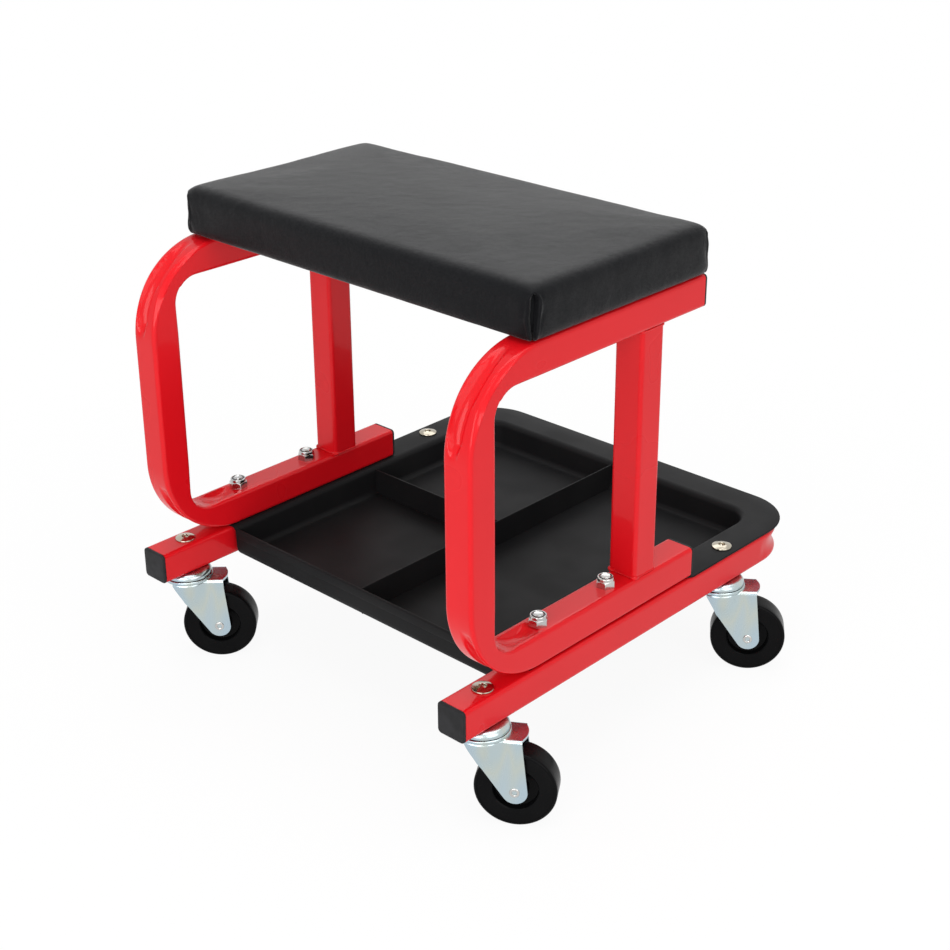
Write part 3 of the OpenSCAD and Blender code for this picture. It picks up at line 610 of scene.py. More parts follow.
# What a round corner takes off u + v, and where u comes onto the flat wall
CORNER_LOSS = 1.76
WALL_FROM, WALL_TO = TUBE / 2 - 2.0, TUBE / 2 - 0.4


def flat_wall(outward):
    """1 on the wall that faces outward, easing to 0 round its corners."""
    return smooth_step(WALL_FROM, WALL_TO, outward)


def hollow(along, across, size, edge):
    """Depth of a pressed hollow over its two directions; a low edge value makes it crisper."""
    half_length, half_width, depth = size
    length = np.clip(1 - (along / half_length) ** 2, 0, 1)
    width = np.clip(1 - (across / half_width) ** 2, 0, 1)
    return depth * length ** edge * width ** edge


def inner_wall_at(share):
    """Distance from a side bend's centre to its tighter inner wall, at a share of the way round."""
    face = SIDE_BEND_R - TUBE / 2
    middle = face - INNER_BEND_R
    turn = math.radians(90) * min(share, 1 - share)
    if math.tan(turn) < middle / face:
        return face / math.cos(turn)
    towards = middle * (math.cos(turn) + math.sin(turn))
    return towards + math.sqrt(INNER_BEND_R ** 2 - (middle * (math.cos(turn) - math.sin(turn))) ** 2)


def side_dents(distance, u, v, bends):
    """What the bender pressed into a side frame's section at one distance along its tube."""
    (top_start, top_end), (low_start, _) = bends
    bend_l = top_end - top_start
    into_top = top_end - distance
    into_low = distance - low_start
    du = np.zeros(len(u))
    dv = np.zeros(len(u))
    for into in (into_top, into_low):
        if 0 < into < bend_l:
            drawn_in = inner_wall_at(into / bend_l) - (SIDE_BEND_R - TUBE / 2)
            pinch = PINCH * math.sin(math.pi * into / bend_l) ** 2 * (1 if into < bend_l / 2 else 0.4)
            du += (drawn_in + pinch) * (TUBE / 2 - u) / TUBE
        # A wide hollow in the inner wall, from the corner on along the leg
        du += flat_wall(-u) * hollow(into - 0.87 * bend_l, v, LEG_HOLLOW, 0.8)
    # The upper bend's outer edge is drawn flat, as a facet that ends in a point
    facet = smooth_step(10, 40, into_top) * (1 - smooth_step(50, 76, into_top))
    beyond = np.maximum(u + v - (TUBE - CORNER_LOSS - FACET * facet), 0)
    du -= beyond / 2
    dv -= beyond / 2
    # The long hollow in the outer wall of the upper bend, beside its middle
    centre = -3.2 + 1.6 * smooth_step(30, 62, into_top)
    half = 3.4 + 3.6 * smooth_step(2, 18, into_top) - 3.4 * smooth_step(42, 76, into_top)
    depth = LONG_HOLLOW_DEEP * smooth_step(2, 12, into_top) * (1 - smooth_step(44, 78, into_top))
    du -= flat_wall(u) * depth * np.clip(1 - ((v - centre) / half) ** 2, 0, 1) ** 0.8
    # The leaf-shaped dent beside the edge of the lower bend
    du -= flat_wall(u) * hollow(into_low - 40, v - 4.4, LEAF_DENT, 0.9)
    return du, dv


def base_dents(distance, u, v, bends):
    """The shallow hollows in the outer walls of the base's two bends."""
    du = np.zeros(len(u))
    for start, end in bends:
        size = ((end - start) * 0.60, BASE_HOLLOW_W, BASE_HOLLOW_DEEP)
        du -= flat_wall(u) * hollow(distance - (start + end) / 2, v, size, 1.1)
    return du, np.zeros(len(u))


def no_dents(distance, u, v, bends):
    """A straight tube keeps its section."""
    return np.zeros(len(u)), np.zeros(len(u))


def make_side_tube(side):
    """One side frame: lower leg, upright and upper leg of one bent tube."""
    x = SIDES[side] * LEG_X
    y = side_low.y + TUBE / 2
    end = LEG_END - CAP
    corners = [(end, HIGH_LEG_Z), (y, HIGH_LEG_Z), (y, LOW_LEG_Z), (end, LOW_LEG_Z)]
    tube = swept_tube(f"bent_side_tube_{side}", corners, SIDE_BEND_R, 1,
                      lambda p, h: (x + h, p.x, p.y), side_dents, RED)
    attach(tube, "frame", "frame_paint", f"side_frame_{side}")


def make_base_tube():
    """The base: two rails and the rear cross tube, bent from one tube."""
    start, back = RAIL_END + CAP, base_high.y - TUBE / 2
    corners = [(-RAIL_X, start), (-RAIL_X, back), (RAIL_X, back), (RAIL_X, start)]
    tube = swept_tube("bent_base_tube", corners, BASE_BEND_R, -1,
                      lambda p, h: (p.x, p.y, RAIL_Z + h), base_dents, RED)
    attach(tube, "frame", "frame_paint", "base_frame")


def make_post_tube(side):
    """A rear post, which stands between the two legs of a side frame."""
    x = SIDES[side] * POST_X
    tube = swept_tube(f"post_tube_{side}", [(x, post_low.z), (x, post_high.z)], TUBE, 1,
                      lambda p, h: (p.x, POST_Y + h, p.y), no_dents, RED)
    attach(tube, "frame", "frame_paint", f"rear_post_{side}")


# Weld beads at a post's ends: radius, and in radii how far up its middle lies and how far it spreads
BEADS = {"foot": (2.0, 0.35, 0.8), "head": (1.6, -0.35, 0.6)}
BEAD_STEPS = 10


def make_weld_bead(side, end):
    """The painted bead round one end of a rear post, rippled as the arc left it."""
    bead_r, lift, spread = BEADS[end]
    z = (post_low.z if end == "foot" else post_high.z) + bead_r * lift
    outline = square_section(TUBE, TUBE_R, 14, 6)
    count = len(outline)
    points = []
    for i, (u, v) in enumerate(outline):
        along = Vector(outline[(i + 1) % count] - outline[i - 1]).normalized()
        out = Vector((along.y, -along.x))
        corner = smooth_step(FLAT - 3, TUBE / 2, abs(u)) * smooth_step(FLAT - 3, TUBE / 2, abs(v))
        laid = smooth_step(FLAT, TUBE / 2, abs(v))
        if end == "foot":
            laid = corner if v < 0 else 0.3 * corner
        swell = bead_r * (0.35 + 0.75 * laid + 0.2 * noise.noise(Vector((u, v, z)) * 0.35))
        for k in range(BEAD_STEPS):
            angle = math.tau * k / BEAD_STEPS
            reach = swell * math.cos(angle) * spread
            points.append((SIDES[side] * POST_X + u + out.x * reach, POST_Y + v + out.y * reach,
                           z + swell * math.sin(angle) * 0.9))
    faces = ring_faces(count, BEAD_STEPS, closed=True)
    bead = mesh_object(f"weld_{end}_{side}", points, faces, RED, 80)
    attach(bead, "frame", "frame_paint")


def make_cap(name, node, x, z, outward):
    """A moulded cap in a tube's end: a rounded plate, with its spigot inside the tube."""
    y = RAIL_END if outward < 0 else LEG_END
    spigot = TUBE - 2 * TUBE_WALL - 0.2
    # How far out, size across and corner radius of each level, from the spigot's end to the face
    levels = [(-12.0 - CAP, spigot - 1.0, 1.0), (-11.0 - CAP, spigot, 1.5), (-CAP, spigot, 1.5),
              (-CAP, TUBE - 0.6, TUBE_R), (-CAP + 0.3, TUBE, TUBE_R), (-1.0, TUBE, TUBE_R),
              (-0.62, TUBE - 0.16, TUBE_R), (-0.28, TUBE - 0.6, TUBE_R), (-0.06, TUBE - 1.3, 2.6),
              (0.0, TUBE - 2.4, 2.2)]
    points = []
    for depth, size, radius in levels:
        outline = square_section(size, radius, 4, 5)
        points += [(x + u, y + outward * depth, z + v) for u, v in outline]
    cap = mesh_object(name, points, ring_faces(len(levels), len(outline)), CAP_BLACK, 50)
    attach(cap, "frame", "plug_plastic", node)


def make_caps():
    """Caps in the front ends of the rails and in the rear ends of the side frames' legs."""
    for side, sign in SIDES.items():
        for tube, x, z, outward in (("rail", RAIL_X, RAIL_Z, -1), ("lower_leg", LEG_X, LOW_LEG_Z, 1),
                                    ("upper_leg", LEG_X, HIGH_LEG_Z, 1)):
            make_cap(f"cap_{tube}_{side}", f"{tube}_plug_{side}", sign * x, z, outward)


# Tray

# Sheet, and the rounding of the floor's edge and of the roll between wall and rim
TRAY_T = 1.5
FLOOR_R = 5.0
ROLL_R = 5.0
DRAFT = 0.8

# Corners of the rim and of the walls, the rim's rough width, and how much the legs hide of it
RIM_CORNER_R = 45.0
TRAY_CORNER_R = 19.5
RIM_W = 31
RIM_HIDDEN = 3.5

# Front wall: half the hem's length, its sheet and height, and how far the wall stays below the rim
HEM_X = 143.5
HEM_T = 1.3
HEM_H = 7.5
WALL_DROP = 1.5

TRAY_IN_X = -node_box("short_divider")[0].x
TRAY_FRONT = divider_low.y
TRAY_BACK = divider_high.y
TRAY_FLOOR = divider_low.z
RIM_TOP = tray_high.z


def arc(centre, radius, start, end, steps):
    """Points of an arc in a plane, with its angles in degrees."""
    angles = [math.radians(start + (end - start) * i / steps) for i in range(steps + 1)]
    return [(centre[0] + radius * math.cos(a), centre[1] + radius * math.sin(a)) for a in angles]


def tray_side_section():
    """Section of wall, roll and rim as (outward, z, share of the way across the rim)."""
    inner = arc((-FLOOR_R, TRAY_FLOOR + FLOOR_R), FLOOR_R, -90, 0, 7)
    roll_z = RIM_TOP - ROLL_R
    roll = arc((DRAFT + ROLL_R, roll_z), ROLL_R, 180, 90, 8)
    under_roll = arc((DRAFT + ROLL_R, roll_z), ROLL_R - TRAY_T, 90, 180, 6)
    outer = arc((-FLOOR_R, TRAY_FLOOR + FLOOR_R), FLOOR_R + TRAY_T, 0, -90, 7)
    edge = TRAY_T / 2
    rim = []
    for angle in (90, 60, 30, 0, -30, -60, -90):
        c, s = math.cos(math.radians(angle)), math.sin(math.radians(angle))
        rim.append((0, RIM_TOP - edge + edge * s, 1 - edge / RIM_W * (1 - c)))
    back = -FLOOR_R - 1.0
    return ([(back, TRAY_FLOOR, 0)] + [(d, z, 0) for d, z in inner] + [(d, z, 0) for d, z in roll]
            + [(0, RIM_TOP, 0.5)] + rim + [(0, RIM_TOP - TRAY_T, 0.5)]
            + [(d, z, 0) for d, z in under_roll] + [(d, z, 0) for d, z in outer]
            + [(back, TRAY_FLOOR - TRAY_T, 0)])


def round_corner(x, y, radius, sign, angle):
    """A point of a rounded corner at x and y, on the left or right, at an angle from the side."""
    out_x, out_y = sign * math.cos(angle), math.sin(angle)
    return sign * (x - radius) + out_x * radius, y - radius + out_y * radius


def tray_stations(front):
    """Matching points of the walls' and the rim's outlines, from the front left to the front right.

    Each is (wall, way out, rim). The rim is narrower under the legs, which end at LEG_END."""
    widths = ((front, RIM_HIDDEN), (front + 30, RIM_HIDDEN), (LEG_END - 6, RIM_HIDDEN),
              (LEG_END + 1, 0.0), (LEG_END + 30, 0.0))
    stations = []
    for sign in (-1, 1):
        run = []
        for y, hidden in widths:
            run.append(((sign * TRAY_IN_X, y), (sign, 0), (sign * (tray_high.x - hidden), y)))
        for i in range(13):
            angle = math.radians(90 * i / 12)
            run.append((round_corner(TRAY_IN_X, TRAY_BACK, TRAY_CORNER_R, sign, angle),
                        (sign * math.cos(angle), math.sin(angle)),
                        round_corner(tray_high.x, tray_high.y, RIM_CORNER_R, sign, angle)))
        stations += run if sign < 0 else list(reversed(run))
    return stations


def tray_shell(stations, front):
    """The floor's edge, the three rolled walls and the rim, swept through the stations."""
    section = tray_side_section()
    foot_r = FLOOR_R + TRAY_T
    points = []
    for wall, normal, rim in stations:
        wall, normal, rim = Vector(wall), Vector(normal), Vector(rim)
        for out, z, share in section:
            place = wall + normal * out
            if share:
                place = (wall + normal * (DRAFT + ROLL_R)).lerp(rim, share)
            drop = TRAY_FLOOR + FLOOR_R - z
            round_in = foot_r - math.sqrt(foot_r ** 2 - drop ** 2) if drop > 0 else 0.0
            points.append((place.x, max(place.y, front + round_in), z))
    return mesh_object("pressed_tray", points, ring_faces(len(stations), len(section)), TRAY_BLACK)


def tray_floor(stations):
    """The flat floor, a little larger than the opening that the shell leaves."""
    reach = -FLOOR_R - 0.5
    plan = [Vector(wall) + Vector(normal) * reach for wall, normal, _ in stations]
    plan[0].y = plan[-1].y = TRAY_FRONT + FLOOR_R + 0.5
    plan = [plan[0]] + plan[2:-2] + [plan[-1]]
    points = [(p.x, p.y, z) for z in (TRAY_FLOOR - TRAY_T, TRAY_FLOOR) for p in plan]
    return mesh_object("tray_floor_plate", points, ring_faces(2, len(plan)), TRAY_BLACK)


def front_strip(name, outline, half):
    """A strip across the tray's front with a given section."""
    ends = [(x, y, z) for x in (-half, half) for y, z in outline]
    return mesh_object(name, ends, ring_faces(2, len(outline)), TRAY_BLACK)


def tray_front_wall():
    """The front wall, which rises from the floor in a round."""
    fillet = (TRAY_FRONT + FLOOR_R, TRAY_FLOOR + FLOOR_R)
    top = RIM_TOP - WALL_DROP
    outline = [(fillet[0] + 1, TRAY_FLOOR)] + arc(fillet, FLOOR_R, 270, 180, 7)
    outline += arc((TRAY_FRONT - TRAY_T / 2, top - TRAY_T / 2), TRAY_T / 2, 0, 180, 6)
    outline += arc(fillet, FLOOR_R + TRAY_T, 180, 270, 7) + [(fillet[0] + 1, TRAY_FLOOR - TRAY_T)]
    return front_strip("tray_front_wall", outline, TRAY_IN_X + TRAY_T / 2)


def tray_hem():
    """The hem folded down over the outside of the front wall."""
    top = RIM_TOP - WALL_DROP
    fold_r = (TRAY_T + HEM_T) / 2
    hem_foot = top - HEM_H
    outline = arc((TRAY_FRONT - fold_r, top - fold_r), fold_r, 0, 180, 10)
    outline += arc((TRAY_FRONT - TRAY_T - HEM_T + 0.5, hem_foot + 0.5), 0.5, 180, 270, 3)
    outline += [(TRAY_FRONT - TRAY_T, hem_foot), (TRAY_FRONT - TRAY_T / 2, hem_foot),
                (TRAY_FRONT - TRAY_T / 2, top - HEM_T * 2), (TRAY_FRONT, top - HEM_T * 2)]
    return front_strip("tray_hem", outline, HEM_X)


def make_tray():
    """The pressed tray: floor, three rolled walls with a rim, and a hemmed front wall."""
    front = TRAY_FRONT - TRAY_T
    stations = tray_stations(front)
    shell = tray_shell(stations, front)
    weld_together(shell, [tray_floor(stations), tray_front_wall(), tray_hem()], TRAY_BLACK, 32)
    attach(shell, "frame", "tray_paint", "tray")
    dress("long_divider", TRAY_BLACK, 0.35)
    dress("short_divider", TRAY_BLACK, 0.35)


# Turned and hexagon pieces

def hex_reach(angle, flats):
    """Distance from the middle of a hexagon to its side, towards an angle."""
    return flats / 2 / math.cos((angle + math.pi / 6) % (math.pi / 3) - math.pi / 6)


def turned_points(profile, steps=72):
    """Rings of points round Z. A profile entry is (radius, z) or (radius, z, flats of a hexagon)."""
    points = []
    for radius, z, *flats in profile:
        for i in range(steps):
            angle = math.tau * i / steps
            reach = min(radius, hex_reach(angle, flats[0])) if flats else radius
            points.append((reach * math.cos(angle), reach * math.sin(angle), z))
    return points


def turned(name, profile, material, steps=72, closed=True, sharp=30):
    """A solid of revolution: a closed profile is a ring, and an open one gets flat ends."""
    faces = ring_faces(len(profile), steps, closed)
    return mesh_object(name, turned_points(profile, steps), faces, material, sharp)


def sloped_hex(flats, foot, height, slope, steps=5):
    """Profile of a hexagon from its foot to its height, with corners that slope away at the top."""
    corner = flats / 2 / math.cos(math.pi / 6)
    crown = flats / 2 * 0.985
    profile = [(corner, foot, flats), (corner, foot + height - slope, flats)]
    for i in range(1, steps + 1):
        share = i / steps
        profile.append((corner + (crown - corner) * share, foot + height - slope * (1 - share), flats))
    return profile


def copies_at(name, source, places, body, slot, *nodes):
    """Copies of a turned piece at several places, joined into one piece."""
    bm = bmesh.new()
    for place in places:
        part = source.data.copy()
        part.transform(place)
        bm.from_mesh(part)
        bpy.data.meshes.remove(part)
    mesh = bpy.data.meshes.new(name)
    bm.to_mesh(mesh)
    bm.free()
    finish_mesh(mesh, source.data.materials[0], 30)
    bpy.data.objects.remove(source)
    attach(linked(name, mesh), body, slot, *nodes)


def at(x, y, z, turn=0.0):
    """A place in millimetres, with a turn about Z in degrees, as a matrix."""
    return Matrix.Translation(Vector((x, y, z)) * MM) @ Matrix.Rotation(math.radians(turn), 4, "Z")


# Frame bolts and their nuts: sizes, places along the rails, and how each nut was left turned
nut_low, nut_high = node_box("frame_nuts")
bolt_low, bolt_high = node_box("frame_bolts")
NUT_FLATS = 13.0
NUT_CORNER = NUT_FLATS / 2 / math.cos(math.pi / 6)
BOLT_R = 4.0
BOLT_HEAD_H = 2.5
BOLT_PITCH = 1.25
BOLT_YS = (nut_low.y + NUT_CORNER, nut_high.y - NUT_CORNER)
NUT_TURNS = (7.0, 41.0, 33.0, 38.0)

# Stem nuts: head, rounded edge, height and span of the dome, depth of the socket, and how much
# further each nut is turned than the one before it
STEM_HEAD_R = 8.0
STEM_EDGE = 1.1
STEM_DOME = 1.5
DOME_FROM_R, DOME_TO_R = 7.4, 3.1
SOCKET_DEEP = 1.8
STEM_NUT_TURN = 17.0


def frame_bolt_places(z):
    """Where the four frame bolts stand, with their nuts turned as they were left."""
    spots = [(sign * RAIL_X, y) for sign in SIDES.values() for y in BOLT_YS]
    return [at(x, y, z, turn) for (x, y), turn in zip(spots, NUT_TURNS)]


def make_frame_nuts():
    """Locking nuts: a hexagon, a rounded collar crimped over the nylon ring, and the ring itself."""
    height = nut_high.z - nut_low.z
    shoulder = height * 0.68
    profile = sloped_hex(NUT_FLATS, 0.0, shoulder, 1.0, 10)
    profile += [(6.3, shoulder + 0.05), (6.25, shoulder + 0.5), (6.2, height - 0.9)]
    profile += arc((5.45, height - 0.75), 0.75, 10, 100, 7)
    profile += [(5.05, height - 0.25), (4.92, height - 1.1), (4.1, height - 1.15), (4.1, 0.0)]
    nut = turned("lock_nut", profile, BOLT_ZINC, 144)
    copies_at("lock_nuts", nut, frame_bolt_places(nut_low.z), "frame", "zinc_bolt", "frame_nuts")
    ring_profile = [(4.9, height - 1.1), (4.8, height - 0.9), (4.4, height - 0.8), (4.12, height - 0.9),
                    (4.08, height - 1.0), (4.08, height - 1.4), (4.9, height - 1.4)]
    ring = turned("nylon_ring", ring_profile, NYLON)
    copies_at("nylon_rings", ring, frame_bolt_places(nut_low.z), "frame", "nylon", "nut_locking_rings")


def thread(radius, foot, top, pitch):
    """Profile of a thread's ridges between two heights."""
    profile = []
    z = foot
    while z < top - pitch:
        profile += [(radius, z), (radius, z + pitch * 0.15), (radius - 0.6 * pitch, z + pitch * 0.55)]
        z += pitch
    return profile


def make_frame_bolts():
    """Frame bolts: a hexagon head below, a plain shank and a threaded end above the nut."""
    head = min(base_low.z - bolt_low.z, BOLT_HEAD_H)
    length = bolt_high.z - base_low.z
    profile = [(0.4, -head), (5.0, -head)]
    profile += [(r, -z, *flats) for r, z, *flats in reversed(sloped_hex(NUT_FLATS, 0.0, head, 1.0))]
    profile += [(6.3, 0.0), (BOLT_R, 0.0), (BOLT_R, length * 0.6)]
    profile += thread(BOLT_R - 0.05, length * 0.62, length - 0.7, BOLT_PITCH)
    profile += [(BOLT_R - 0.1, length - 0.6), (BOLT_R - 0.75, length)]
    profile += [(1.6, length - 0.22), (0.4, length - 0.25)]
    bolt = turned("frame_bolt", profile, BOLT_ZINC, closed=False)
    copies_at("hex_bolts", bolt, frame_bolt_places(base_low.z), "frame", "zinc_bolt", "frame_bolts")


def caster_spot(corner):
    """Swivel axis, swivel angle and axle height of a caster, read from its CAD pieces."""
    race_low, race_high = node_box(f"upper_race_{corner}")
    wheel_low, wheel_high = node_box(f"wheel_{corner}")
    axis = (race_low + race_high) / 2
    hub = (wheel_low + wheel_high) / 2
    return axis, math.degrees(math.atan2(hub.y - axis.y, hub.x - axis.x)), hub.z


def make_stem_nuts():
    """Round nuts with a small socket, one on each caster's stem."""
    ball = (STEM_HEAD_R ** 2 + STEM_DOME ** 2) / (2 * STEM_DOME)
    dome = []
    for i in range(9):
        radius = DOME_FROM_R + (DOME_TO_R - DOME_FROM_R) * i / 8
        dome.append((radius, STEM_EDGE + STEM_DOME - ball + math.sqrt(ball ** 2 - radius ** 2)))
    socket = STEM_EDGE + STEM_DOME - SOCKET_DEEP
    profile = [(5.58, -16.0), (5.58, 0.0), (STEM_HEAD_R - 0.3, 0.0), (STEM_HEAD_R, 0.3),
               (STEM_HEAD_R, STEM_EDGE - 0.25), (STEM_HEAD_R - 0.18, STEM_EDGE + 0.1)]
    profile += dome + [(3.0, dome[-1][1] - 0.25, 5.4), (2.9, socket, 5.0)]
    profile += [(1.6, socket - 0.9), (0.3, socket - 1.6)]
    nut = turned("cap_nut", profile, NICKEL, closed=False)
    places = []
    for i, corner in enumerate(CORNERS):
        axis = caster_spot(corner)[0]
        top = base_high.z if corner.startswith("front") else RIM_TOP
        places.append(at(axis.x, axis.y, top, STEM_NUT_TURN * i))
    copies_at("cap_nuts", nut, places, "frame", "nickel", "stem_nuts")


# Casters. Each piece is made with the wheel trailing along +X, then turned to its place

# The fork's sheet, seen from the side: round ends at the axle, a knee in front, and the top plate
TRAIL = 24.5
WHEEL_R = 30.0
END_R = 9.3
KNEE = (-2.0, 52.0)
PLATE_TOP = 72.6
LEG_FRONT = -12.0
LEG_BACK = 29.5
FORK_T = 2.0
FORK_BEND_R = 2.6
LEG_OUT = 13.0
LEG_BULGE = 0.9

# The plate's round front and tail, where its flare narrows to the legs, and the flare's low end
RING_R = 20.4
TAIL_R = 32.5
FLARE_FROM, FLARE_TO = 9.5, 18.5
FLARE_LOW = 46.0
FORK_COLUMNS = 30
PLATE_ROWS = 8

RACE_H = 4.8
AXLE_HALF = 13.0


def touch(centre, radius, point, turn):
    """Where a line from a point touches a circle."""
    gap = Vector(point) - Vector(centre)
    angle = math.atan2(gap.y, gap.x) + turn * math.acos(radius / gap.length)
    return centre[0] + radius * math.cos(angle), centre[1] + radius * math.sin(angle)


FORK_FRONT_TOUCH = touch((TRAIL, WHEEL_R), END_R, KNEE, 1)
FORK_BACK_TOUCH = touch((TRAIL, WHEEL_R), END_R, (LEG_BACK, PLATE_TOP), -1)


def between(a, b, z):
    """Where the straight line from a to b is at a height."""
    share = (z - a[1]) / (b[1] - a[1])
    return a[0] + (b[0] - a[0]) * share


def fork_span(z):
    """Front and back edge of a fork leg at a height, seen from the side."""
    round_half = math.sqrt(max(END_R ** 2 - (z - WHEEL_R) ** 2, 0.0))
    if z < FORK_FRONT_TOUCH[1]:
        front = TRAIL - round_half
    elif z < KNEE[1]:
        front = between(FORK_FRONT_TOUCH, KNEE, z)
    else:
        front = between(KNEE, (LEG_FRONT, PLATE_TOP), z)
        front += LEG_BULGE * math.sin(math.pi * (z - KNEE[1]) / (PLATE_TOP - KNEE[1]))
    if z < FORK_BACK_TOUCH[1]:
        back = TRAIL + round_half
    else:
        back = between(FORK_BACK_TOUCH, (LEG_BACK, PLATE_TOP), z)
    return front, back


def fork_flare(s):
    """Half width of the fork's top edge, which follows the round plate and then narrows to the legs."""
    if s >= FLARE_TO:
        return LEG_OUT
    round_half = math.sqrt(max(RING_R ** 2 - max(s, LEG_FRONT) ** 2, 0.0))
    share = float(smooth_step(FLARE_FROM, FLARE_TO, s))
    return round_half + (LEG_OUT - round_half) * share


def row_across(front, back, point):
    """A row of the sheet from its front to its back edge; point(i, s) gives (s, y, z) of column i."""
    return [point(i, front + (back - front) * i / FORK_COLUMNS) for i in range(FORK_COLUMNS + 1)]


def leg_rows():
    """Rows of one upright leg, from its round foot up to the bend."""
    bend_z = PLATE_TOP - FORK_BEND_R
    foot = WHEEL_R - END_R
    levels = [foot + END_R * (1 - math.cos(math.radians(a))) for a in (7, 18, 30, 42, 54, 66, 78, 90)]
    levels += [WHEEL_R + (KNEE[1] - WHEEL_R) * i / 8 for i in range(1, 9)]
    levels += [KNEE[1] + (bend_z - KNEE[1]) * i / 12 for i in range(1, 13)]
    rows = []
    for z in levels:
        front, back = fork_span(z)
        rise = float(smooth_step(FLARE_LOW, bend_z, z))
        rows.append(row_across(front, back,
                               lambda i, s: (s, LEG_OUT + (fork_flare(s) - LEG_OUT) * rise, z)))
    return rows


def bend_rows():
    """Rows round the bend from the leg into the plate."""
    front, back = fork_span(PLATE_TOP - FORK_BEND_R)
    rows = []
    for angle in (18, 36, 54, 72, 90):
        inward = FORK_BEND_R * (1 - math.cos(math.radians(angle)))
        z = PLATE_TOP - FORK_BEND_R * (1 - math.sin(math.radians(angle)))
        rows.append(row_across(front, back, lambda i, s: (s, fork_flare(s) - inward, z)))
    return rows


def plate_rows(edge):
    """Rows of the plate from its edge to its middle, between the round front and the tail."""
    rows = []
    for step in range(1, PLATE_ROWS + 1):
        share = 1 - step / PLATE_ROWS
        blend = 1 - share ** 3
        front_reach = -math.sqrt(RING_R ** 2 - (edge[0][1] * share) ** 2)
        back_reach = math.sqrt(TAIL_R ** 2 - (edge[-1][1] * share) ** 2)
        front = edge[0][0] + (front_reach - edge[0][0]) * blend
        back = edge[-1][0] + (back_reach - edge[-1][0]) * blend
        rows.append(row_across(front, back, lambda i, s: (s, edge[i][1] * share, PLATE_TOP)))
    return rows


def thick_sheet(rows):
    """Points and faces of a sheet whose outer side goes through the given rows."""
    grid = np.array(rows)
    normal = np.cross(np.gradient(grid, axis=0), np.gradient(grid, axis=1))
    normal /= np.linalg.norm(normal, axis=2)[:, :, None]
    height, width = grid.shape[:2]
    if normal[height // 2, width // 2, 2] < 0:
        normal = -normal
    under = grid - normal * FORK_T
    points = [tuple(p) for p in grid.reshape(-1, 3)] + [tuple(p) for p in under.reshape(-1, 3)]
    total = height * width
    faces = []
    for r in range(height - 1):
        for c in range(width - 1):
            a = r * width + c
            faces.append((a, a + 1, a + width + 1, a + width))
            faces.append((total + a, total + a + width, total + a + width + 1, total + a + 1))
    rim = [(0, c) for c in range(width)]
    rim += [(r, width - 1) for r in range(1, height)]
    rim += [(height - 1, c) for c in range(width - 2, -1, -1)]
    rim += [(r, 0) for r in range(height - 2, 0, -1)]
    for (r0, c0), (r1, c1) in zip(rim, rim[1:] + rim[:1]):
        a, b = r0 * width + c0, r1 * width + c1
        faces.append((a, b, total + b, total + a))
    return points, faces


def make_fork_mesh():
    """The stamped fork: two flared legs and a top plate, bent from one sheet, and its raised ring."""
    half = leg_rows() + bend_rows()
    half += plate_rows(half[-1])
    mirrored = [[(s, -y, z) for s, y, z in row] for row in reversed(half[:-1])]
    sheet = mesh_object("fork_sheet", *thick_sheet(half + mirrored), FORK_ZINC, 45)
    lip = [(17.6, PLATE_TOP - 0.9), (18.0, PLATE_TOP + 0.6)]
    lip += arc((19.3, PLATE_TOP + 0.8), 1.1, 150, 20, 7)
    lip += [(RING_R, PLATE_TOP - 0.2), (RING_R - 0.3, PLATE_TOP - 0.9)]
    weld_together(sheet, [turned("fork_ring", lip, FORK_ZINC, 96)], FORK_ZINC, 45)
    soften = sheet.modifiers.new("edges", "BEVEL")
    soften.width = 0.3 * MM
    soften.segments = 2
    soften.limit_method = "ANGLE"
    soften.angle_limit = math.radians(50)
    settle(sheet, FORK_ZINC, 40)
    return mesh_of(sheet)


def make_race_mesh():
    """The pressed upper race under the rail: a shallow cup with a rolled shoulder."""
    top = base_low.z
    foot = top - RACE_H
    profile = [(4.1, top), (15.6, top)] + arc((15.2, top - 4.4), 4.4, 85, 8, 9)
    profile += [(19.6, foot), (18.0, foot)] + arc((15.0, top - 4.6), 3.0, 5, 85, 6)
    profile += [(14.6, top - 1.6), (4.1, top - 1.6)]
    return mesh_of(turned("race_cup", profile, FORK_ZINC, 96))


def on_its_side(piece):
    """Turns a piece made round Z so that it stands round Y, and takes its mesh."""
    piece.data.transform(Matrix.Rotation(math.radians(90), 4, "X"))
    return mesh_of(piece)


def make_wheel_mesh():
    """The wheel: a rounded tread, a step beside it, a recess round the hub and a bore."""
    hub = [(5.03, 10.8), (8.6, 10.8), (9.0, 10.4), (9.0, 5.2)]
    recess = [(9.5, 4.1), (10.4, 3.7), (14.8, 3.7), (15.8, 4.1), (16.3, 6.4), (16.6, 8.6)]
    face = [(17.3, 9.3), (26.9, 9.3), (27.3, 9.45), (27.5, 9.85), (27.9, 10.0)]
    tread = arc((27.8, 7.8), 2.2, 80, 5, 7) + [(WHEEL_R, 4.0), (WHEEL_R, 0.0)]
    half = hub + recess + face + tread
    profile = half + [(r, -z) for r, z in reversed(half[:-1])]
    return on_its_side(turned("wheel_disc", profile, WHEEL_BLACK, 128))


def make_axle_mesh():
    """The axle: a tubular rivet with rolled heads and hollow ends."""
    half = [(3.0, 0.0), (3.0, AXLE_HALF), (3.7, AXLE_HALF), (3.75, AXLE_HALF + 0.25)]
    half += arc((3.0, AXLE_HALF + 0.1), 0.72, 20, 90, 4)
    half += [(2.4, AXLE_HALF + 0.78), (1.9, AXLE_HALF + 0.5), (1.62, AXLE_HALF - 0.1)]
    half += [(1.6, AXLE_HALF - 3.8), (0.3, AXLE_HALF - 4.4)]
    profile = [(r, -z) for r, z in reversed(half[1:])] + half
    return on_its_side(turned("rivet", profile, BOLT_ZINC, 48, closed=False))


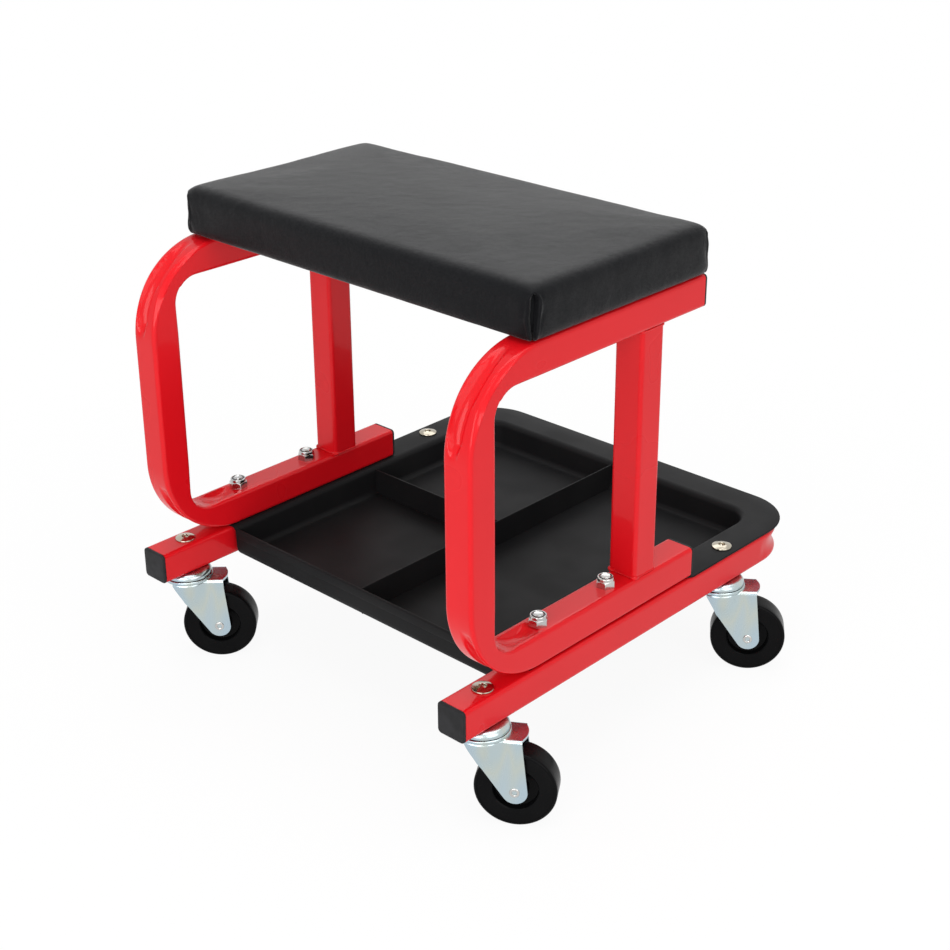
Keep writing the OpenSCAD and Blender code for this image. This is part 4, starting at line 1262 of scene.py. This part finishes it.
def make_casters():
    """Four casters from shared meshes, each turned as its CAD pieces are."""
    fork, race, wheel, axle = make_fork_mesh(), make_race_mesh(), make_wheel_mesh(), make_axle_mesh()
    for corner in CORNERS:
        axis, yaw, hub_z = caster_spot(corner)
        swivel = at(axis.x, axis.y, 0.0, yaw)
        hub = swivel @ Matrix.Translation(Vector((TRAIL, 0, hub_z)) * MM)
        fork_body, wheel_body = f"caster_fork_{corner}", f"caster_wheel_{corner}"
        for name, mesh, matrix, body, slot, node in (
                ("stamped_fork", fork, swivel, fork_body, "zinc_sheet", "fork"),
                ("race_cup", race, swivel, "frame", "zinc_sheet", "upper_race"),
                ("rolling_wheel", wheel, hub, wheel_body, "wheel_plastic", "wheel"),
                ("rivet_axle", axle, hub, fork_body, "zinc_bolt", "axle")):
            piece = linked(f"{name}_{corner}", mesh)
            piece.matrix_world = matrix
            attach(piece, body, slot, f"{node}_{corner}")
        dress(f"race_balls_{corner}", BALL_STEEL)
        dress(f"fork_washer_{corner}", BOLT_ZINC, 0.25)
        dress(f"caster_stem_{corner}", BOLT_ZINC)
        dress(f"axle_bush_{corner}", BUSH_STEEL)


# Cushion

# The block that is swollen: how much narrower and lower it is than the cushion on each side, how
# its upright, upper and lower edges are rounded, and how fine it is
BLOCK_IN = 1.6
BLOCK_LOW = 2.6
BLOCK_CORNER_R = 10.0
BLOCK_TOP_R = 7.5
BLOCK_FOOT_R = 2.2
VOXEL = 4.5

# The swelling: the share of the simulated shift that is kept, and the most that a point moves
FIRMNESS = 0.08
SWELL_LIMIT = 2.6
CLOTH_FRAMES = 20

# The folds at the corners: middle of their round, which way they lie, and their sizes
PLEAT_IN = 11.0
PLEAT_TURN = {-1: 38.0, 1: 52.0}
PLEAT_DEEP = 5.4
PLEAT_LIP = 0.8
PLEAT_FROM_TOP = 8.0
PLEAT_REACH = 6.0

# The cover's sides: how far they draw in with soft waves, small ripples, a rounded belly and the
# pull at the corners, and how far the lower edge rises and the top sinks
WAVE_DEEP, RIPPLE_DEEP, BELLY_DEEP, PULL_DEEP = 0.9, 0.35, 0.5, 0.3
EDGE_RISE = 0.5
TOP_WAVE, TOP_SINK, TOP_CORNER_SINK = 0.3, 0.1, 0.5

# The turned-in cover under the board
TURN_IN = 38.0
OPENING_DEEP = 4.0


def edges_of(faces):
    """The edges of some faces, each once, in the order of the faces."""
    return list(dict.fromkeys(e for f in faces for e in f.edges))


def points_round(faces):
    """The corner points of some faces, each once, in the order of the faces."""
    return list(dict.fromkeys(v for f in faces for v in f.verts))


def round_edges(bm, edges, radius, segments):
    """Rounds some edges of a mesh in the making."""
    bmesh.ops.bevel(bm, geom=edges, offset=radius * MM, segments=segments, profile=0.5, affect="EDGES")


def edges_at(bm, z):
    """Edges of a mesh that lie level at a height."""
    return [e for e in bm.edges if all(abs(v.co.z - z) < 1e-6 for v in e.verts)]


def cushion_block():
    """A block with rounded edges, a little smaller than the finished cushion."""
    bm = bmesh.new()
    bmesh.ops.create_cube(bm, size=1.0)
    size = seat_high - seat_low
    low = seat_low + Vector((BLOCK_IN, BLOCK_IN, 0))
    extent = Vector((size.x - 2 * BLOCK_IN, size.y - 2 * BLOCK_IN, size.z - BLOCK_LOW))
    for v in bm.verts:
        v.co = Vector([low[i] + extent[i] * (v.co[i] + 0.5) for i in range(3)]) * MM
    upright = [e for e in bm.edges if abs(e.verts[0].co.z - e.verts[1].co.z) > 1e-6]
    round_edges(bm, upright, BLOCK_CORNER_R, 6)
    top = max(v.co.z for v in bm.verts)
    foot = min(v.co.z for v in bm.verts)
    round_edges(bm, edges_at(bm, top), BLOCK_TOP_R, 6)
    round_edges(bm, edges_at(bm, foot), BLOCK_FOOT_R, 2)
    mesh = bpy.data.meshes.new("vinyl_cushion")
    bm.to_mesh(mesh)
    bm.free()
    obj = linked("vinyl_cushion", mesh)
    remesh = obj.modifiers.new("remesh", "REMESH")
    remesh.mode = "VOXEL"
    remesh.voxel_size = VOXEL * MM
    settle(obj, VINYL, 180)
    return obj


def inflate(obj):
    """Swells the cushion as stuffed vinyl does; its underside is held by the board."""
    rest = np.array([v.co for v in obj.data.vertices])
    held = obj.vertex_groups.new(name="held")
    foot = rest[:, 2].min()
    held.add([int(i) for i in np.nonzero(rest[:, 2] < foot + 3 * MM)[0]], 1.0, "REPLACE")
    settings = obj.modifiers.new("cloth", "CLOTH").settings
    settings.use_pressure = True
    settings.uniform_pressure_force = 4.0
    settings.vertex_group_mass = "held"
    settings.tension_stiffness = 18
    settings.compression_stiffness = 18
    settings.bending_stiffness = 0.8
    settings.effector_weights.gravity = 0.0
    scene = bpy.context.scene
    scene.frame_start, scene.frame_end = 1, CLOTH_FRAMES
    for number in range(1, CLOTH_FRAMES + 1):
        scene.frame_set(number)
    graph = bpy.context.evaluated_depsgraph_get()
    moved = np.array([v.co for v in obj.evaluated_get(graph).data.vertices])
    obj.modifiers.clear()
    scene.frame_set(1)
    shift = (moved - rest) * FIRMNESS
    length = np.linalg.norm(shift, axis=1)[:, None]
    shift *= np.minimum(1.0, SWELL_LIMIT * MM / np.maximum(length, 1e-9))
    obj.data.vertices.foreach_set("co", (rest + shift).ravel())
    obj.vertex_groups.clear()


def points_of(obj):
    """Points of an object's mesh, in millimetres."""
    return np.array([v.co for v in obj.data.vertices]) / MM


def put_points(obj, points):
    """Moves the points of an object's mesh to places in millimetres."""
    obj.data.vertices.foreach_set("co", (points * MM).ravel())


def fit_to_seat(obj):
    """Scales the cushion to the box that the solids give it."""
    points = points_of(obj)
    low, high = points.min(0), points.max(0)
    target_low, target_high = np.array(seat_low), np.array(seat_high)
    put_points(obj, target_low + (points - low) * (target_high - target_low) / (high - low))


def cut_finer(obj, chosen, cuts):
    """Divides the faces that a test of their middle chooses."""
    bm = bmesh.new()
    bm.from_mesh(obj.data)
    faces = [f for f in bm.faces if chosen(f.calc_center_median() / MM)]
    bmesh.ops.subdivide_edges(bm, edges=edges_of(faces), cuts=cuts, use_grid_fill=True)
    bmesh.ops.triangulate(bm, faces=[f for f in bm.faces if len(f.verts) > 4])
    bm.to_mesh(obj.data)
    bm.free()


def corner_places():
    """The four upright corners of the cushion: middle of each round, and the way out of it."""
    for sx in (-1, 1):
        for sy in (-1, 1):
            x = seat_high.x - PLEAT_IN if sx > 0 else seat_low.x + PLEAT_IN
            y = seat_high.y - PLEAT_IN if sy > 0 else seat_low.y + PLEAT_IN
            yield x, y, sx, sy


def near_pleat(point):
    """Whether a point is on one of the cushion's upright corners, below its top."""
    reach = PLEAT_REACH + 2
    return point.z < seat_high.z - 2 and any(
        (point.x - x) * sx > -reach and (point.y - y) * sy > -reach for x, y, sx, sy in corner_places())


def press_pleats(points):
    """Folds the cover at each corner: a groove between two upright lips, with puckers beside it."""
    out = points.copy()
    height = points[:, 2] - seat_low.z
    slot_top = seat_high.z - seat_low.z - PLEAT_FROM_TOP
    rise = 1 - smooth_step(slot_top - 1.5, slot_top + 1.0, height)
    half = 0.9 + 2.5 * smooth_step(0.0, 0.55, height / slot_top)
    half *= np.sqrt(np.clip((slot_top + 1.0 - height) / 5.0, 0.04, 1.0))
    for x, y, sx, sy in corner_places():
        rel = points[:, :2] - np.array([x, y])
        along_x, along_y = rel[:, 0] * sx, rel[:, 1] * sy
        reach = np.hypot(rel[:, 0], rel[:, 1])
        near = (along_x > -PLEAT_REACH) & (along_y > -PLEAT_REACH) & (reach > 4)
        angle = np.arctan2(along_y, along_x)
        across = (angle - math.radians(PLEAT_TURN[sx * sy])) * PLEAT_IN
        lean = across - 0.8 * np.sin(height * 0.13)
        groove = PLEAT_DEEP * np.exp(-(lean / half) ** 6)
        lips = PLEAT_LIP * np.exp(-((abs(lean) - half - 1.7) / 1.3) ** 2)
        pucker = 0.3 * np.sin(height * 0.4 + across * 0.3) * np.exp(-((abs(lean) - 6) / 3.0) ** 2)
        shift = np.where(near, rise * (lips - groove + pucker), 0.0)
        way = rel / np.maximum(reach, 1e-6)[:, None]
        out[:, :2] += way * shift[:, None]
    return out


def noise_at(points, across, upward, lift=0):
    """Smooth noise at points, at one scale across and another upward."""
    places = [Vector((x * across, y * across, z * upward + lift)) for x, y, z in points]
    return np.array([noise.noise(place) for place in places])


def settle_cover(points):
    """Soft waves of the cover's sides and its slightly wavy lower edge."""
    out = points.copy()
    middle = np.array([(seat_low.x + seat_high.x) / 2, (seat_low.y + seat_high.y) / 2])
    half = np.array([(seat_high.x - seat_low.x) / 2, (seat_high.y - seat_low.y) / 2])
    rel = (points[:, :2] - middle) / half
    side_x = smooth_step(0.93, 0.99, abs(rel[:, 0]))
    side_y = smooth_step(0.90, 0.985, abs(rel[:, 1]))
    corner = smooth_step(0.80, 1.0, abs(rel[:, 0])) * smooth_step(0.66, 1.0, abs(rel[:, 1]))
    height = (points[:, 2] - seat_low.z) / (seat_high.z - seat_low.z)
    belly = np.sin(np.clip(height, 0, 1) * math.pi) ** 0.7
    wave = noise_at(points, 0.016, 0.03)
    ripple = noise_at(points, 0.06, 0.05, 9)
    push = WAVE_DEEP * wave * belly + RIPPLE_DEEP * ripple * (1 - height) - BELLY_DEEP * (1 - belly)
    push -= PULL_DEEP * corner * height ** 2
    out[:, 0] += np.sign(rel[:, 0]) * side_x * np.minimum(push, 0.0)
    out[:, 1] += np.sign(rel[:, 1]) * side_y * np.minimum(push, 0.0)
    edge = smooth_step(0.05, 0.0, height) * np.maximum(side_x, side_y)
    out[:, 2] += edge * EDGE_RISE * (1 + ripple)
    top = smooth_step(0.60, 0.97, height)
    out[:, 2] += top * (TOP_WAVE * wave - TOP_SINK - TOP_CORNER_SINK * corner)
    return out


def open_underside(obj):
    """Cuts the opening that the turned-in cover leaves under the board."""
    bm = bmesh.new()
    bm.from_mesh(obj.data)
    x0, x1 = (seat_low.x + TURN_IN) * MM, (seat_high.x - TURN_IN) * MM
    y0, y1 = (seat_low.y + TURN_IN) * MM, (seat_high.y - TURN_IN) * MM

    def underside():
        """The faces that look down."""
        return [f for f in bm.faces if f.calc_center_median().z < (seat_low.z + 2) * MM]

    for point, normal in (((x0, 0, 0), (1, 0, 0)), ((x1, 0, 0), (1, 0, 0)),
                          ((0, y0, 0), (0, 1, 0)), ((0, y1, 0), (0, 1, 0))):
        low = underside()
        bmesh.ops.bisect_plane(bm, geom=low + edges_of(low) + points_round(low), plane_co=point,
                               plane_no=normal)
    inside = [f for f in underside() if x0 < f.calc_center_median().x < x1
              and y0 < f.calc_center_median().y < y1]
    for v in points_round(inside):
        v.co.z = seat_low.z * MM
    lifted = bmesh.ops.extrude_face_region(bm, geom=inside)["geom"]
    for v in (g for g in lifted if isinstance(g, bmesh.types.BMVert)):
        v.co.z += OPENING_DEEP * MM
    bmesh.ops.delete(bm, geom=inside, context="FACES")
    # The extrusion makes its walls in another order each run, so the faces are put in a fixed one
    ordered = sorted(bm.faces, key=lambda f: tuple(f.calc_center_median()))
    rank = {f: i for i, f in enumerate(ordered)}
    bm.faces.sort(key=rank.get)
    bm.to_mesh(obj.data)
    bm.free()


def make_seat_bolts():
    """Bolts from below through the upper legs into the board, with low heads that the legs hide."""
    high = node_box("seat_bolts")[1]
    tee_low, tee_high = node_box("seat_tee_nuts")
    reach = tee_high.x - LEG_X
    foot = side_high.z - TUBE
    length = high.z - foot
    profile = [(0.4, -2.6), (3.6, -2.6), (4.5, -2.2), (4.95, -1.2), (5.0, 0.0), (3.0, 0.0)]
    profile += [(3.0, length * 0.7)] + thread(2.95, length * 0.71, length - 0.6, 1.0)
    profile += [(2.9, length - 0.5), (2.4, length), (0.4, length)]
    bolt = turned("seat_bolt", profile, BOLT_ZINC, 48, closed=False)
    places = [at(sign * LEG_X, y, foot) for sign in SIDES.values()
              for y in (tee_low.y + reach, tee_high.y - reach)]
    copies_at("low_head_bolts", bolt, places, "frame", "zinc_bolt", "seat_bolts")


def make_cushion():
    """The stuffed seat: swollen, fitted to its box, pleated at its corners and opened underneath."""
    obj = cushion_block()
    inflate(obj)
    fit_to_seat(obj)
    smooth = obj.modifiers.new("smooth", "SUBSURF")
    smooth.levels = smooth.render_levels = 1
    settle(obj, VINYL, 180)
    fit_to_seat(obj)
    cut_finer(obj, near_pleat, 2)
    points = press_pleats(settle_cover(points_of(obj)))
    put_points(obj, np.clip(points, np.array(seat_low), np.array(seat_high)))
    open_underside(obj)
    finish_mesh(obj.data, VINYL, 60)
    attach(obj, "frame", "vinyl", "seat_cover", "seat_foam")
    dress("seat_board", PLYWOOD, 0.6)
    dress("seat_tee_nuts", BOLT_ZINC)
    dress("cover_staples", BOLT_ZINC, 0.12)


# Room

# Name, place, target, width and height in metres, and power in watts
LAMPS = (
    ("overhead_softbox", (0.1, 0.1, 2.1), (0, 0, 0.2), (1.8, 1.8), 27),
    ("right_softbox", (1.9, -0.4, 1.1), (0, 0, 0.2), (1.4, 1.6), 13),
    ("front_softbox", (0.5, -1.6, 0.75), (0.05, 0, 0.2), (1.2, 1.0), 15),
    ("back_softbox", (-1.1, 1.45, 1.9), (0, 0, 0.3), (1.6, 1.0), 8))
WORLD_LIGHT = 0.27
FLOOR_HALF = 6000.0
WHITE = (1, 1, 1, 1)

# The camera, fitted to the photograph: place in millimetres, turn in degrees, lens in millimetres
CAMERA_AT = (855.3, -908.4, 748.9)
CAMERA_YAW, CAMERA_PITCH, CAMERA_ROLL = 43.363, 23.544, -0.369
LENS = 64.71
LENS_SHIFT = -0.06


def make_lamps():
    """Four plain white softboxes."""
    for name, place, target, size, power in LAMPS:
        data = bpy.data.lights.new(name, "AREA")
        data.shape = "RECTANGLE"
        data.size, data.size_y = size
        data.energy = power
        lamp = linked(name, data)
        lamp.location = place
        lamp.rotation_euler = (Vector(target) - Vector(place)).to_track_quat("-Z", "Y").to_euler()


def ray_mask(tree):
    """1 for camera, glossy and transmission rays."""
    path = tree.nodes.new("ShaderNodeLightPath")
    first = sum_node(tree, "ADD", path.outputs["Is Camera Ray"], path.outputs["Is Glossy Ray"])
    total = sum_node(tree, "ADD", first, path.outputs["Is Transmission Ray"])
    return sum_node(tree, "MINIMUM", total, 1.0)


def mix_shaders(tree, share, first, second, end):
    """Sends a mix of two shaders to the end of a tree."""
    mix = tree.nodes.new("ShaderNodeMixShader")
    tree.links.new(share, mix.inputs["Fac"])
    tree.links.new(first, mix.inputs[1])
    tree.links.new(second, mix.inputs[2])
    tree.links.new(mix.outputs["Shader"], tree.nodes[end].inputs["Surface"])


def make_world():
    """A white backdrop that also shows in reflections, with a plain level of light from it."""
    world = bpy.data.worlds.new("studio")
    bpy.context.scene.world = world
    world.use_nodes = True
    tree = world.node_tree
    light = tree.nodes["Background"]
    white = tree.nodes.new("ShaderNodeBackground")
    for background, strength in ((light, WORLD_LIGHT), (white, 1.0)):
        background.inputs["Color"].default_value = WHITE
        background.inputs["Strength"].default_value = strength
    mix_shaders(tree, ray_mask(tree), light.outputs["Background"], white.outputs["Background"],
                "World Output")


def make_floor():
    """A plain pale floor: white to the camera and in reflections, with a faint shadow of the object."""
    pale = Finish("pale_floor", specular=0.2)
    pale.colour(0.8, (0.905, 0.905, 0.905), (0.915, 0.915, 0.915))
    pale.shader.inputs["Roughness"].default_value = 0.9
    tree = pale.tree
    far = tree.nodes.new("ShaderNodeVectorMath")
    far.operation = "LENGTH"
    tree.links.new(pale.place, far.inputs[0])
    veil = range_node(tree, far.outputs["Value"], 0.25, 0.80, 0.93, 1.0)
    white = tree.nodes.new("ShaderNodeEmission")
    white.inputs["Color"].default_value = WHITE
    mix_shaders(tree, sum_node(tree, "MULTIPLY", ray_mask(tree), veil), pale.shader.outputs["BSDF"],
                white.outputs["Emission"], "Material Output")
    corners = [(x * FLOOR_HALF, y * FLOOR_HALF, 0) for x, y in ((-1, -1), (1, -1), (1, 1), (-1, 1))]
    mesh_object("pale_floor", corners, [(0, 1, 2, 3)], pale.material)


def make_camera():
    """The photograph's viewing angle, with a small upward shift of its lens."""
    data = bpy.data.cameras.new("camera")
    data.sensor_width = 36.0
    data.lens = LENS
    data.shift_y = LENS_SHIFT
    data.clip_start, data.clip_end = 0.05, 50.0
    yaw, pitch, roll = (math.radians(a) for a in (CAMERA_YAW, CAMERA_PITCH, CAMERA_ROLL))
    ahead = Vector((-math.sin(yaw) * math.cos(pitch), math.cos(yaw) * math.cos(pitch),
                    -math.sin(pitch)))
    across = Vector((math.cos(yaw), math.sin(yaw), 0.0))
    over = across.cross(ahead)
    right = across * math.cos(roll) + over * math.sin(roll)
    up = over * math.cos(roll) - across * math.sin(roll)
    turn = Matrix((right, up, -ahead)).transposed().to_4x4()
    camera = linked("camera", data)
    camera.matrix_world = Matrix.Translation(Vector(CAMERA_AT) * MM) @ turn
    bpy.context.scene.camera = camera


def main():
    """Makes the room and then the seat, piece by piece."""
    bpy.context.scene.view_settings.view_transform = "Standard"
    make_camera()
    make_world()
    make_floor()
    make_lamps()
    make_base_tube()
    for side in SIDES:
        make_side_tube(side)
        make_post_tube(side)
        for end in BEADS:
            make_weld_bead(side, end)
    make_caps()
    make_tray()
    make_frame_nuts()
    make_frame_bolts()
    make_stem_nuts()
    make_casters()
    make_seat_bolts()
    make_cushion()


main()
